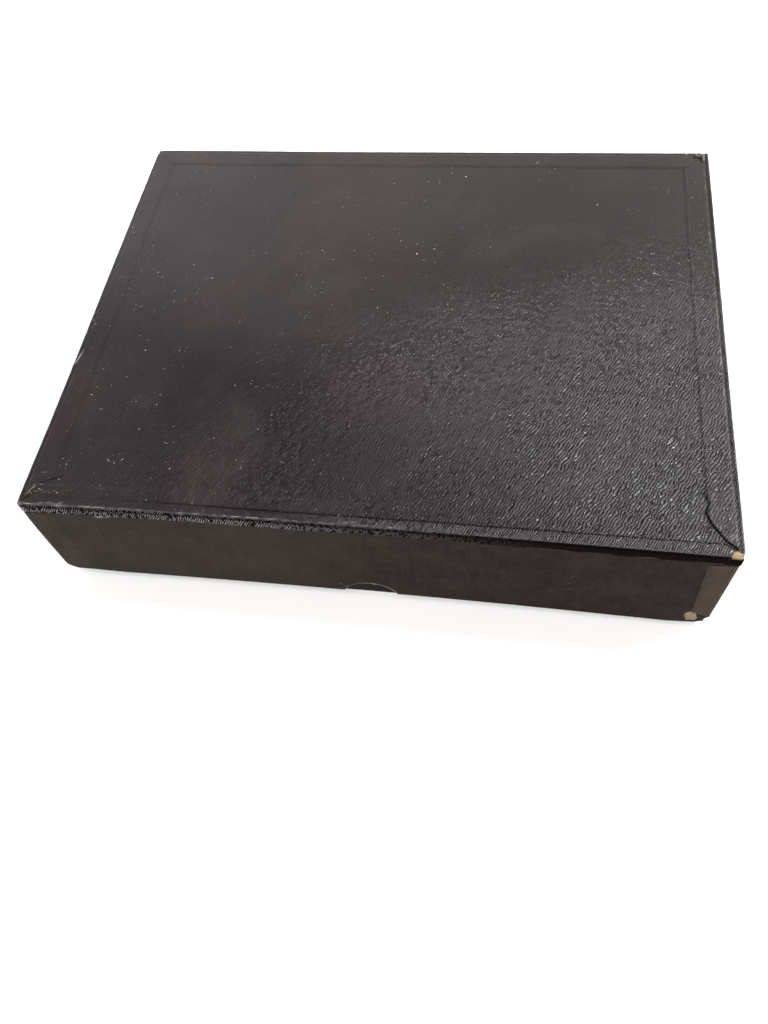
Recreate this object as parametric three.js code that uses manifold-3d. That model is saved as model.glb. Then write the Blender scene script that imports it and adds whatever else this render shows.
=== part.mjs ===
// Leatherette-covered storage box with a full-depth lift-off lid.
// Millimetres, +Z up. Origin: centre of the footprint, on the surface the base stands on.
// X runs along the long side, -Y is the front (the side with the thumb cut).
//
// A rigid covered box: strawboard panels, corners held with gummed tape, wall covers turned
// round the edges, grained edging strips mitred round the lid's top, a grained panel over them,
// and paper linings inside. Layers are named by their depth d, measured inwards from the
// outermost skin of the lid, and every glued layer has a thin glue line to its neighbours.
import * as THREE from 'three';
import { mergeVertices } from 'three/addons/utils/BufferGeometryUtils.js';
import Module from 'manifold-3d';

// ---------- driving dimensions (mm) ----------
const W = 254.0;            // outside length of the lid
const D = 203.2;            // outside depth of the lid
const HEIGHT = 56.0;        // overall height, base standing, lid on
const LID_EDGE_Z = 5.2;     // the lid's lower edge stands this far above the base's foot
const GLUE = 0.05;          // glue line between layers
const SKIN = 0.2;           // wall covering
const GRAIN_SKIN = 0.25;    // heavier grained leatherette of the edging and the top panel
const TAPE = 0.15;          // gummed corner tape
const LINER = 0.15;         // lining paper
const WALL = 1.3;           // wall board
const TOP_BOARD = 1.5;      // lid top board and base bottom board
const EDGING_TOP = 10.2;    // edging width on the top
const EDGING_TOP_FRONT = 8.8; // narrower along the front
const EDGING_DROP = 5.8;    // edging height on the walls
const EDGE_R = 1.0;         // rounding of the lid's upper edges
const PANEL_INSET_FRONT = 4.4, PANEL_INSET_RIGHT = 2.0, PANEL_INSET_LEFT = 2.0, PANEL_INSET_BACK = 2.0;
const TURN_IN = 12.0;       // how far the wall covers turn inside
const STAY_LEG = 12.0;      // corner tape leg
const NOTCH_R = 11.8;       // thumb cut: radius of the cut
const NOTCH_RISE = 7.2;     // and its height above the lid's lower edge
const NOTCH_X = 1.0;        // and its position along the front
const LID_CLEARANCE = 0.3;  // lid lining to base cover, each side

// ---------- layer depths ----------
const hx = W / 2, hy = D / 2;
// lid, from the outside in
const dEdge = 0, dEdgeIn = GRAIN_SKIN;                  // edging
const dTab = GLUE, dTabIn = dTab + SKIN;                // corner tabs of the end covers
const dCov = dEdgeIn + GLUE, dCovIn = dCov + SKIN;      // wall covers
const dStay = dCovIn + GLUE, dStayIn = dStay + TAPE;    // corner tape
const dBrd = dStayIn + GLUE, dBrdIn = dBrd + WALL;      // wall boards
const dTurn = dBrdIn + GLUE, dTurnIn = dTurn + SKIN;    // turned-in cover and lining
const dLinIn = dTurn + LINER;
// base, from its outside in
const bCov = dTurnIn + LID_CLEARANCE, bCovIn = bCov + SKIN;
const bTab = bCovIn + GLUE, bTabIn = bTab + SKIN;
const bStay = bTabIn + GLUE, bStayIn = bStay + TAPE;
const bBrd = bStayIn + GLUE, bBrdIn = bBrd + WALL;
const bTurn = bBrdIn + GLUE, bTurnIn = bTurn + SKIN;
const bLinIn = bTurn + LINER;

// ---------- heights ----------
const zPanelTop = HEIGHT;
const zFrame0 = zPanelTop - GRAIN_SKIN;                 // underside of the panel's border
const zEdgTop = zFrame0 - GLUE, zEdg0 = zEdgTop - GRAIN_SKIN;
const zTop1 = zEdg0 - GLUE, zTop0 = zTop1 - TOP_BOARD;  // lid top board
const zCeil1 = zTop0 - GLUE, zCeil0 = zCeil1 - LINER;   // ceiling lining
const zRim = zCeil0 - 0.1;                              // the base's rim carries the lid
const zLidBrd0 = LID_EDGE_Z + SKIN + GLUE;
const zBotCov1 = SKIN;
const zFlap0 = zBotCov1 + GLUE, zFlap1 = zFlap0 + SKIN;
const zBot0 = zFlap1 + GLUE, zBot1 = zBot0 + TOP_BOARD;
const zWall0 = zBot1 + GLUE, zWall1 = zRim - SKIN - GLUE;

// ---------- materials ----------
const mat = {
  grained: () => new THREE.MeshStandardMaterial({ color: 0x4a4446, roughness: 0.5, metalness: 0 }),
  wall: () => new THREE.MeshStandardMaterial({ color: 0x3d3530, roughness: 0.7, metalness: 0 }),
  board: () => new THREE.MeshStandardMaterial({ color: 0xc59b5c, roughness: 0.9, metalness: 0 }),
  tape: () => new THREE.MeshStandardMaterial({ color: 0xa8834f, roughness: 0.85, metalness: 0 }),
  liner: () => new THREE.MeshStandardMaterial({ color: 0xd8ccb0, roughness: 0.9, metalness: 0 }),
};

// ---------- helpers ----------
const wasm = await Module();
wasm.setup();

function volume(pos, idx) {
  let v = 0;
  for (let i = 0; i < idx.length; i += 3) {
    const a = idx[i] * 3, b = idx[i + 1] * 3, c = idx[i + 2] * 3;
    v += pos[a] * (pos[b + 1] * pos[c + 2] - pos[b + 2] * pos[c + 1])
      - pos[a + 1] * (pos[b] * pos[c + 2] - pos[b + 2] * pos[c])
      + pos[a + 2] * (pos[b] * pos[c + 1] - pos[b + 1] * pos[c]);
  }
  return v / 6;
}
function geometry(pos, idx) {
  if (volume(pos, idx) < 0) for (let i = 0; i < idx.length; i += 3) [idx[i + 1], idx[i + 2]] = [idx[i + 2], idx[i + 1]];
  const g = new THREE.BufferGeometry();
  g.setAttribute('position', new THREE.BufferAttribute(new Float32Array(pos), 3));
  g.setIndex(idx);
  g.computeVertexNormals();
  return g;
}
// a right prism: outline points (a, b) between two planes, mapped to the row frame by place
function prism(outline, place0, place1) {
  const n = outline.length, pos = [], idx = [];
  for (const p of outline) pos.push(...place0(p));
  for (const p of outline) pos.push(...place1(p));
  const tris = THREE.ShapeUtils.triangulateShape(outline.map((p) => new THREE.Vector2(p[0], p[1])), []);
  for (const [a, b, c] of tris) { idx.push(a, b, c); idx.push(n + a, n + c, n + b); }
  const ccw = THREE.ShapeUtils.area(outline.map((p) => new THREE.Vector2(p[0], p[1]))) > 0;
  for (let i = 0; i < n; i++) {
    const j = (i + 1) % n;
    if (ccw) idx.push(i, n + i, j, j, n + i, n + j);
    else idx.push(i, j, n + i, j, n + j, n + i);
  }
  return geometry(pos, idx);
}
const box = (x0, x1, y0, y1, z0, z1) =>
  prism([[x0, y0], [x1, y0], [x1, y1], [x0, y1]], (p) => [p[0], p[1], z0], (p) => [p[0], p[1], z1]);
// a strip of constant section (d, z) along one side of the box, its ends mitred at 45 degrees
function mitred(profile, side, gap) {
  const along = side === 'front' || side === 'back' ? hx : hy;
  const put = (s) => ([d, z]) => {
    const e = s * (along - d - gap);
    if (side === 'front') return [e, -(hy - d), z];
    if (side === 'back') return [e, hy - d, z];
    if (side === 'left') return [-(hx - d), e, z];
    return [hx - d, e, z];
  };
  return prism(profile, put(-1), put(1));
}
function solid(g) {
  const c = g.clone();
  c.deleteAttribute('normal');
  if (c.attributes.uv) c.deleteAttribute('uv');
  const m = mergeVertices(c, 1e-5);
  return new wasm.Manifold(new wasm.Mesh({
    numProp: 3, vertProperties: new Float32Array(m.attributes.position.array), triVerts: new Uint32Array(m.index.array),
  }));
}
function surface(s) {
  const m = s.getMesh();
  const g = new THREE.BufferGeometry();
  const pos = new Float32Array(m.numVert * 3);
  for (let i = 0; i < m.numVert; i++) for (let k = 0; k < 3; k++) pos[i * 3 + k] = m.vertProperties[i * m.numProp + k];
  g.setAttribute('position', new THREE.BufferAttribute(pos, 3));
  g.setIndex(new THREE.BufferAttribute(new Uint32Array(m.triVerts), 1));
  g.computeVertexNormals();
  return g;
}
const join = (...gs) => surface(gs.map(solid).reduce((a, b) => a.add(b)));
const cut = (g, ...tools) => surface(tools.map(solid).reduce((a, b) => a.subtract(b), solid(g)));

const group = new THREE.Group();
const lid = new THREE.Group();
const base = new THREE.Group();
group.add(lid, base);
function add(parent, name, geo, material) {
  const m = new THREE.Mesh(geo, material());
  m.name = name;
  parent.add(m);
}

// ---------- lid: boards ----------
const zNotch = LID_EDGE_Z + NOTCH_RISE - NOTCH_R;       // centre height of the thumb cut
function thumbCut() {
  const c = new THREE.CylinderGeometry(NOTCH_R, NOTCH_R, 12, 72);   // its axis is along Y
  c.translate(NOTCH_X, -hy, zNotch);
  return c;
}
add(lid, 'lid_top_board', box(-(hx - dBrd), hx - dBrd, -(hy - dBrd), hy - dBrd, zTop0, zTop1), mat.board);
const longBoard = (s) => box(-(hx - dBrd), hx - dBrd, ...[s * (hy - dBrd), s * (hy - dBrdIn)].sort((a, b) => a - b), zLidBrd0, zTop0 - GLUE);
const shortBoard = (s) => box(...[s * (hx - dBrd), s * (hx - dBrdIn)].sort((a, b) => a - b), -(hy - dBrdIn - GLUE), hy - dBrdIn - GLUE, zLidBrd0, zTop0 - GLUE);
add(lid, 'lid_front_board', cut(longBoard(-1), thumbCut()), mat.board);
add(lid, 'lid_back_board', longBoard(1), mat.board);
add(lid, 'lid_left_board', shortBoard(-1), mat.board);
add(lid, 'lid_right_board', shortBoard(1), mat.board);

// ---------- corner tape ----------
function stay(sx, sy, d0, d1, z0, z1) {
  const x0 = sx * (hx - d0), x1 = sx * (hx - d1), y0 = sy * (hy - d0), y1 = sy * (hy - d1);
  const xl = sx * (hx - d0 - STAY_LEG), yl = sy * (hy - d0 - STAY_LEG);
  return prism([[x0, y0], [x0, yl], [x1, yl], [x1, y1], [xl, y1], [xl, y0]],
    (p) => [p[0], p[1], z0], (p) => [p[0], p[1], z1]);
}
for (const [k, sx, sy] of [['fl', -1, -1], ['fr', 1, -1], ['bl', -1, 1], ['br', 1, 1]]) {
  add(lid, 'lid_corner_stay_' + k, stay(sx, sy, dStay, dStayIn, zLidBrd0, zTop0 - GLUE), mat.tape);
  add(base, 'base_corner_stay_' + k, stay(sx, sy, bStay, bStayIn, zBot0, zWall1), mat.tape);
}

// ---------- lid: wall covers ----------
// section: outer leaf, turned under the lower edge, and up inside
const zCovTop = zTop1 - 0.7;
const lidCover = [
  [dCov, LID_EDGE_Z], [dTurnIn, LID_EDGE_Z], [dTurnIn, LID_EDGE_Z + TURN_IN], [dTurn, LID_EDGE_Z + TURN_IN],
  [dTurn, LID_EDGE_Z + SKIN], [dCovIn, LID_EDGE_Z + SKIN], [dCovIn, zCovTop], [dCov, zCovTop]];
add(lid, 'lid_front_cover', cut(mitred(lidCover, 'front', 0.4), thumbCut()), mat.wall);
add(lid, 'lid_back_cover', mitred(lidCover, 'back', 0.4), mat.wall);
// a tab of the end cover, wrapped round the corner over the long cover: (u from the end, z)
function tab(sx, sy, outline, d0, d1) {
  return prism(outline, ([u, z]) => [sx * (hx - u), sy * (hy - d0), z], ([u, z]) => [sx * (hx - u), sy * (hy - d1), z]);
}
// the strip of the end cover that carries the tab round the corner
function turn(sx, sy, z0, z1, d0, dEnd, dEndIn, y) {
  const xs = [sx * (hx - dEnd), sx * (hx - dEndIn)].sort((a, b) => a - b);
  const ys = [sy * (hy - d0), sy * (hy - y)].sort((a, b) => a - b);
  return box(...xs, ...ys, z0, z1);
}
const lidTabs = {
  fr: [[dCov, 10.8], [dCov, 49.4], [1.4, 49.1], [8.6, 48.4], [9.4, 47.4], [7.0, 13.8]],
  fl: [[dCov, 7.0], [dCov, 49.4], [10.4, 48.6], [11.5, 47.0], [10.5, 7.2]],
  br: [[dCov, 7.4], [dCov, 49.4], [9.4, 48.5], [10.3, 47.2], [9.6, 8.6]],
  bl: [[dCov, 7.6], [dCov, 49.4], [9.0, 48.7], [9.9, 47.6], [10.2, 8.2]],
};
for (const [side, sx] of [['left', -1], ['right', 1]]) {
  const parts = [mitred(lidCover, side, 0.15)];
  for (const [f, sy] of [['f', -1], ['b', 1]]) {
    const o = lidTabs[f + side[0]];
    parts.push(tab(sx, sy, o, dTab, dTabIn), turn(sx, sy, o[0][1], o[1][1], dTab, dCov, dCovIn, 1.2));
  }
  add(lid, `lid_${side}_cover`, join(...parts), mat.wall);
}

// ---------- lid: edging strips, mitred at the corners ----------
const arc = (r, from, to) => {
  const out = [];
  for (let i = 0; i <= 6; i++) {
    const a = from + (to - from) * i / 6;
    out.push([EDGE_R + r * Math.cos(a), zEdgTop - EDGE_R + r * Math.sin(a)]);
  }
  return out;
};
const zBand = HEIGHT - EDGING_DROP;
const edging = (width) => [
  [0, zBand], [GRAIN_SKIN, zBand],
  ...arc(EDGE_R - GRAIN_SKIN, Math.PI, Math.PI / 2),
  [width, zEdg0], [width, zEdgTop],
  ...arc(EDGE_R, Math.PI / 2, Math.PI)];
for (const side of ['front', 'back', 'left', 'right']) {
  add(lid, `lid_${side}_edging`, mitred(edging(side === 'front' ? EDGING_TOP_FRONT : EDGING_TOP), side, 0.15), mat.grained);
}

// ---------- lid: top panel ----------
// its border lies over the edging, its middle drops one step on to the board
{
  const X0 = -(hx - PANEL_INSET_LEFT), X1 = hx - PANEL_INSET_RIGHT, Y0 = -(hy - PANEL_INSET_FRONT), Y1 = hy - PANEL_INSET_BACK;
  const ix = hx - EDGING_TOP - 0.3, iy = hy - EDGING_TOP - 0.3, jy = hy - EDGING_TOP_FRONT - 0.3;
  const inner = (z0, z1) => box(-(ix - 0.25), ix - 0.25, -(jy - 0.25), iy - 0.25, z0, z1);
  const border = cut(box(X0, X1, Y0, Y1, zFrame0, zPanelTop), inner(zFrame0 - 1, zPanelTop + 1));
  const step = cut(box(-ix, ix, -jy, iy, zEdg0, zPanelTop), inner(zEdgTop, zPanelTop + 1));
  add(lid, 'lid_top_cover', join(step, border), mat.grained);
}

// ---------- lid: linings ----------
add(lid, 'lid_top_lining', box(-(hx - dTurnIn - 0.1), hx - dTurnIn - 0.1, -(hy - dTurnIn - 0.1), hy - dTurnIn - 0.1, zCeil0, zCeil1), mat.liner);
const zLidLin0 = LID_EDGE_Z + TURN_IN + 0.3;
const lidLining = [[dTurn, zLidLin0], [dLinIn, zLidLin0], [dLinIn, zCeil1], [dTurn, zCeil1]];
for (const side of ['front', 'back', 'left', 'right']) add(lid, `lid_${side}_lining`, mitred(lidLining, side, 0.05), mat.liner);

// ---------- base: boards ----------
add(base, 'base_bottom_board', box(-(hx - bBrd), hx - bBrd, -(hy - bBrd), hy - bBrd, zBot0, zBot1), mat.board);
const bLong = (s) => box(-(hx - bBrd), hx - bBrd, ...[s * (hy - bBrd), s * (hy - bBrdIn)].sort((a, b) => a - b), zWall0, zWall1);
const bShort = (s) => box(...[s * (hx - bBrd), s * (hx - bBrdIn)].sort((a, b) => a - b), -(hy - bBrdIn - GLUE), hy - bBrdIn - GLUE, zWall0, zWall1);
add(base, 'base_front_board', bLong(-1), mat.board);
add(base, 'base_back_board', bLong(1), mat.board);
add(base, 'base_left_board', bShort(-1), mat.board);
add(base, 'base_right_board', bShort(1), mat.board);

// ---------- base: wall covers ----------
// section: turned under the bottom, up the wall, over the rim and down inside
const baseCover = [
  [bCov, zFlap0], [bCov + TURN_IN, zFlap0], [bCov + TURN_IN, zFlap1], [bCovIn, zFlap1], [bCovIn, zRim - SKIN],
  [bTurn, zRim - SKIN], [bTurn, zRim - TURN_IN], [bTurnIn, zRim - TURN_IN], [bTurnIn, zRim], [bCov, zRim]];
add(base, 'base_front_cover', mitred(baseCover, 'front', 0.15), mat.wall);
add(base, 'base_back_cover', mitred(baseCover, 'back', 0.15), mat.wall);
const baseTab = [[bCov, 7.0], [bCov, 46.7], [11.6, 45.8], [12.6, 44.6], [12.2, 8.2]];
for (const [side, sx] of [['left', -1], ['right', 1]]) {
  const parts = [mitred(baseCover, side, 0.15)];
  for (const sy of [-1, 1]) {
    parts.push(tab(sx, sy, baseTab, bTab, bTabIn), turn(sx, sy, 7.0, 46.7, bTab, bCov, bCovIn, bTab + 1));
  }
  add(base, `base_${side}_cover`, join(...parts), mat.wall);
}
add(base, 'base_bottom_cover', box(-(hx - bCov - 1.6), hx - bCov - 1.6, -(hy - bCov - 1.6), hy - bCov - 1.6, 0, zBotCov1), mat.wall);

// ---------- base: linings ----------
add(base, 'base_floor_lining', box(-(hx - bTurnIn - 0.05), hx - bTurnIn - 0.05, -(hy - bTurnIn - 0.05), hy - bTurnIn - 0.05, zWall0, zWall0 + LINER), mat.liner);
const baseLining = [[bTurn, zWall0], [bLinIn, zWall0], [bLinIn, zRim - TURN_IN - 0.3], [bTurn, zRim - TURN_IN - 0.3]];
for (const side of ['front', 'back', 'left', 'right']) add(base, `base_${side}_lining`, mitred(baseLining, side, 0.05), mat.liner);

export default group;
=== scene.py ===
import math

import bmesh
import bpy
import numpy as np
from mathutils import Matrix, Vector


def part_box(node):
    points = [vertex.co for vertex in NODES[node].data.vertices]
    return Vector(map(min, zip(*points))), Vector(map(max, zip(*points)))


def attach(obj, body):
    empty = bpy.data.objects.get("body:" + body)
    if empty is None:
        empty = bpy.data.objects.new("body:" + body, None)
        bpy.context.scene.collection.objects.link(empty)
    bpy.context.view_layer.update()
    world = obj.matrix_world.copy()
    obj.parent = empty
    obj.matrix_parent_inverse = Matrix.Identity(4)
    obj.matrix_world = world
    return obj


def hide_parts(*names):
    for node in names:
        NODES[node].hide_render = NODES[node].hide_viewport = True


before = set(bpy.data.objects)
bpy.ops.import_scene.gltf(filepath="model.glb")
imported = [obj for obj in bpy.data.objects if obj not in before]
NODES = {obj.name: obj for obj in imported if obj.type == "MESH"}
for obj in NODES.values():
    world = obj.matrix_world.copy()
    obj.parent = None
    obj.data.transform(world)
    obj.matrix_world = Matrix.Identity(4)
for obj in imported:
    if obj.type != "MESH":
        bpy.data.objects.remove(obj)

SC = bpy.context.scene
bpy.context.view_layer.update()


# =====================================================================================
# dimensions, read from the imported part, in mm
# =====================================================================================
def span(node):
    lo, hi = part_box(node)
    return np.array(lo) * 1000.0, np.array(hi) * 1000.0


HX = span("lid_right_edging")[1][0]            # half length of the lid
HY = -span("lid_front_edging")[0][1]           # half depth of the lid
PAN_LO, PAN_HI = span("lid_top_cover")         # top panel
TOP = PAN_HI[2]
EDG_LO, EDG_HI = span("lid_front_edging")
BAND_Z = EDG_LO[2]                             # lower edge of the edging on the walls
EDG_TOP = EDG_HI[2]                            # top of the edging, under the panel
EDG_IN = HY + EDG_HI[1]                        # width of the front edging on the top, and of the others
EDG_TOP_SIDE = HX - span("lid_right_edging")[0][0]
COV_LO, COV_HI = span("lid_front_cover")
LID_Z = COV_LO[2]                              # lower edge of the lid
COV_TOP = COV_HI[2]
BC_LO, BC_HI = span("base_right_cover")
BHX = BC_HI[0]                                 # half length and half depth of the base
BHY = -span("base_front_cover")[0][1]
RIM = span("base_front_cover")[1][2]
SKIN = 0.2
GRAIN = 0.25
NOTCH_R, NOTCH_X, NOTCH_Z = 11.8, 1.0, LID_Z + 7.2 - 11.8
EDGE_R = 0.45                                  # rounding of the lid's upper edges


# =====================================================================================
# small maths
# =====================================================================================
def sstep(a, b, x):
    t = np.clip((np.asarray(x, float) - a) / (b - a), 0.0, 1.0)
    return t * t * (3 - 2 * t)


def vnoise(x, y, seed=0):
    """smooth value noise, -1..1"""
    x, y = np.broadcast_arrays(np.asarray(x, float), np.asarray(y, float))
    xi, yi = np.floor(x).astype(np.int64), np.floor(y).astype(np.int64)
    fx, fy = x - xi, y - yi
    u, v = fx * fx * (3 - 2 * fx), fy * fy * (3 - 2 * fy)

    def h(a, b):
        n = (a * 374761393 + b * 668265263 + seed * 1442695041) & 0xFFFFFFFF
        n = ((n ^ (n >> 13)) * 1274126177) & 0xFFFFFFFF
        return ((n ^ (n >> 16)) & 0xFFFF) / 32767.5 - 1.0

    return (h(xi, yi) * (1 - u) + h(xi + 1, yi) * u) * (1 - v) + (h(xi, yi + 1) * (1 - u) + h(xi + 1, yi + 1) * u) * v


def fbm(x, y, seed=0, octaves=3):
    out, amp, f = 0.0, 1.0, 1.0
    for i in range(octaves):
        out = out + amp * vnoise(np.asarray(x) * f + 17.3 * i, np.asarray(y) * f - 9.1 * i, seed + i)
        amp, f = amp * 0.5, f * 2.03
    return out / 1.75


def line_dist(px, py, pts):
    """distance to a polyline, signed: positive on its right-hand side as it is walked; and how far along, 0..1"""
    best = np.full(np.shape(px), 1e9)
    side = np.zeros(np.shape(px))
    along = np.zeros(np.shape(px))
    pts = [np.array(p, float) for p in pts]
    lens = [np.linalg.norm(b - a) for a, b in zip(pts, pts[1:])]
    total, run = sum(lens), 0.0
    for (a, b), ln in zip(zip(pts, pts[1:]), lens):
        d = b - a
        t = np.clip(((px - a[0]) * d[0] + (py - a[1]) * d[1]) / (ln * ln), 0, 1)
        qx, qy = a[0] + t * d[0], a[1] + t * d[1]
        dist = np.hypot(px - qx, py - qy)
        s = d[0] * (py - a[1]) - d[1] * (px - a[0])
        m = dist < best
        best = np.where(m, dist, best)
        side = np.where(m, np.where(s < 0, 1.0, -1.0), side)
        along = np.where(m, (run + t * ln) / total, along)
        run += ln
    return best, side, along


def bump(x, c, w):
    return np.exp(-((np.asarray(x, float) - c) / w) ** 2)


# =====================================================================================
# how age has moved the box: every piece goes through one of these, so layers stay nested
# =====================================================================================
def round_corner(P, hx, hy, r):
    x, y = P[:, 0].copy(), P[:, 1].copy()
    px, py = r - (hx - np.abs(x)), r - (hy - np.abs(y))
    m = (px > 1e-6) & (py > 1e-6)
    s = np.ones(len(P))
    s[m] = np.maximum(px[m], py[m]) / np.hypot(px[m], py[m])
    P[m, 0] = np.sign(x[m]) * (hx - r + px[m] * s[m])
    P[m, 1] = np.sign(y[m]) * (hy - r + py[m] * s[m])
    return P


def bow(x, y, amount):
    return amount * np.clip(1 - (x / HX) ** 2, 0, 1) * sstep(-52, -97, y)


def press(P, c, r, v):
    w = np.exp(-(((P - np.array(c)) ** 2).sum(1)) / (r * r))
    return P + w[:, None] * np.array(v)


def warp_lid(P):
    P = np.array(P, float)
    P = round_corner(P, HX, HY, 0.35)
    x, y, z = P[:, 0].copy(), P[:, 1].copy(), P[:, 2].copy()
    k = np.clip((TOP - z) / (TOP - LID_Z), 0, 1)
    P[:, 1] += bow(x, y, 0.95 + 0.05 * k)
    # the right-hand wall leans out a little, and the front edge of the lid has dropped a little
    P[:, 0] += (0.54 + 0.21 * sstep(-40, -92, y)) * sstep(100, HX, x)
    P[:, 0] -= 0.48 * sstep(-60, 70, y) * sstep(-100, -HX, x)
    P[:, 1] += (0.50 + 0.50 * sstep(-30, -110, x)) * sstep(75, HY, y)
    low = k ** 4 * sstep(-40, -95, y) * sstep(-122, -98, x) * sstep(124, 112, x)
    P[:, 1] -= 0.28 * low
    P[:, 2] -= 0.38 * low
    P[:, 2] -= (0.55 + 0.85 * sstep(30, 118, x)) * k * sstep(-40, -95, y)
    P = press(P, (-HX, -HY, TOP - 19), 27, (-0.50, -0.40, 0))
    # the two front corners are worn blunt at the bottom, all four a little at the top
    P = press(P, (HX, -HY, LID_Z), 2.6, (-1.1, 0.35, 1.2))
    P = press(P, (-HX, -HY, LID_Z), 2.4, (0.7, 0.35, 0.6))
    P = press(P, (HX, HY, LID_Z), 2.4, (-0.5, -0.4, 0.6))
    P = press(P, (-HX, HY, LID_Z), 2.4, (0.5, -0.4, 0.5))
    for sx, sy, a in ((-1, -1, 0.05), (-1, 1, 0.25), (1, -1, 0.0), (1, 1, 0.0)):
        P = press(P, (sx * HX, sy * HY, TOP), 1.8, (-sx * a, -sy * a, -a * 0.8))
    # the top has moved a little with damp and age; nothing moves over the base's rim
    e = np.minimum(HX - np.abs(x), HY - np.abs(y))
    wave = 0.16 * vnoise(x / 71 + 3, y / 63, 11) + 0.07 * vnoise(x / 24, y / 21 + 5, 12)
    P[:, 2] += wave * sstep(7, 32, e) * sstep(TOP - 8, TOP - 2.3, z)
    # walls waver along their length
    wx = 0.10 * vnoise(y / 37, z / 60, 21) * sstep(TOP - 1, TOP - 14, z)
    P[:, 0] += np.sign(x) * wx * sstep(6, 0, HX - np.abs(x)) * sstep(2, 20, HY - np.abs(y))
    return P


def warp_base(P):
    P = np.array(P, float)
    P = round_corner(P, BHX, BHY, 0.7)
    x, y, z = P[:, 0].copy(), P[:, 1].copy(), P[:, 2].copy()
    P[:, 1] += bow(x, y, 1.02)
    P = press(P, (BHX, -BHY, 0), 2.6, (-1.3, 0.8, 1.0))
    P = press(P, (-BHX, -BHY, 0), 2.2, (0.7, 0.5, 0.5))
    P = press(P, (BHX, BHY, 0), 2.2, (-0.6, -0.5, 0.5))
    P = press(P, (-BHX, BHY, 0), 2.2, (0.6, -0.5, 0.5))
    return P


# =====================================================================================
# mesh building
# =====================================================================================
def finish_mesh(name, V, F, attrs, material, body, stands_for, warp, angle=38, second=None):
    me = bpy.data.meshes.new(name)
    flat = np.asarray(V, float)
    P = warp(np.asarray(V, float)) / 1000.0
    me.from_pydata(P.tolist(), [], [tuple(int(i) for i in f) for f in F])
    for key, val in (attrs or {}).items():
        a = me.attributes.new(key, "FLOAT", "POINT")
        a.data.foreach_set("value", np.asarray(val, np.float32))
    me.update()
    bm = bmesh.new()
    bm.from_mesh(me)
    bmesh.ops.recalc_face_normals(bm, faces=bm.faces)
    bm.to_mesh(me)
    bm.free()
    me.polygons.foreach_set("use_smooth", [True] * len(me.polygons))
    me.set_sharp_from_angle(angle=math.radians(angle))
    ob = bpy.data.objects.new(name, me)
    SC.collection.objects.link(ob)
    ob.data.materials.append(material)
    if second:
        ob.data.materials.append(second[0])
        pick = [1 if second[1](flat[list(q.vertices)].mean(0)) else 0 for q in me.polygons]
        me.polygons.foreach_set("material_index", pick)
    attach(ob, body)
    for n in stands_for:
        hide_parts(n)
    return ob


def sheet_arrays(P, Q, keep=None):
    """closed thin solid between two matching grids, less the cells that aren't kept"""
    nu, nv = P.shape[:2]
    if keep is None:
        keep = np.ones((nu - 1, nv - 1), bool)
    idx = np.arange(nu * nv).reshape(nu, nv)
    off = nu * nv
    a, b, c, d = idx[:-1, :-1][keep], idx[1:, :-1][keep], idx[1:, 1:][keep], idx[:-1, 1:][keep]
    faces = [np.stack([a, b, c, d], 1), np.stack([d, c, b, a], 1) + off]
    pad = np.pad(keep, 1)
    # an edge between two cells of which one is kept is a rim
    k = pad[1:-1, 1:-1]
    sides = []
    m = k & ~pad[:-2, 1:-1]
    sides.append((idx[:-1, 1:][m], idx[:-1, :-1][m]))
    m = k & ~pad[2:, 1:-1]
    sides.append((idx[1:, :-1][m], idx[1:, 1:][m]))
    m = k & ~pad[1:-1, :-2]
    sides.append((idx[:-1, :-1][m], idx[1:, :-1][m]))
    m = k & ~pad[1:-1, 2:]
    sides.append((idx[1:, 1:][m], idx[:-1, 1:][m]))
    for s, t in sides:
        faces.append(np.stack([t, s, s + off, t + off], 1))
    V = np.concatenate([P.reshape(-1, 3), Q.reshape(-1, 3)])
    F = np.concatenate(faces)
    used = np.unique(F)
    remap = np.full(len(V), -1)
    remap[used] = np.arange(len(used))
    return V[used], remap[F], used


def sheet_obj(name, P, Q, material, body, stands_for, warp, attrs=None, keep=None, extra=None, angle=38, second=None):
    V, F, used = sheet_arrays(P, Q, keep)
    n = P.shape[0] * P.shape[1]
    at = {}
    for k, v in (attrs or {}).items():
        full = np.concatenate([np.asarray(v, float).ravel(), np.asarray(v, float).ravel()])
        at[k] = full[used]
    F = [tuple(f) for f in F]
    if extra:
        for EV, EF, ea in extra:
            base = len(V)
            V = np.concatenate([V, EV])
            F += [tuple(i + base for i in f) for f in EF]
            for k in at:
                at[k] = np.concatenate([at[k], np.full(len(EV), ea.get(k, 0.0))])
    return finish_mesh(name, V, F, at, material, body, stands_for, warp, angle, second)


def tube(points, r0, r1, sides=6):
    """closed tapering tube along points, for a loose fibre"""
    pts = np.array(points, float)
    V, F = [], []
    n = len(pts)
    for i, p in enumerate(pts):
        t = pts[min(i + 1, n - 1)] - pts[max(i - 1, 0)]
        t /= np.linalg.norm(t)
        a = np.cross(t, (0.31, 0.17, 0.93))
        a /= np.linalg.norm(a)
        b = np.cross(t, a)
        r = r0 + (r1 - r0) * i / (n - 1)
        for k in range(sides):
            w = 2 * math.pi * k / sides
            V.append(p + r * (math.cos(w) * a + math.sin(w) * b))
    for i in range(n - 1):
        for k in range(sides):
            k2 = (k + 1) % sides
            F.append((i * sides + k, i * sides + k2, (i + 1) * sides + k2, (i + 1) * sides + k))
    F.append(tuple(reversed(range(sides))))
    F.append(tuple((n - 1) * sides + k for k in range(sides)))
    return np.array(V), F


def stations(lo, hi, fine, mid, zone):
    a = np.arange(lo, lo + zone, fine)
    b = np.linspace(lo + zone, hi - zone, max(2, int(round((hi - lo - 2 * zone) / mid)) + 1))
    c = np.arange(hi, hi - zone, -fine)[::-1]
    return np.unique(np.round(np.concatenate([a, b, c]), 4))


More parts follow.
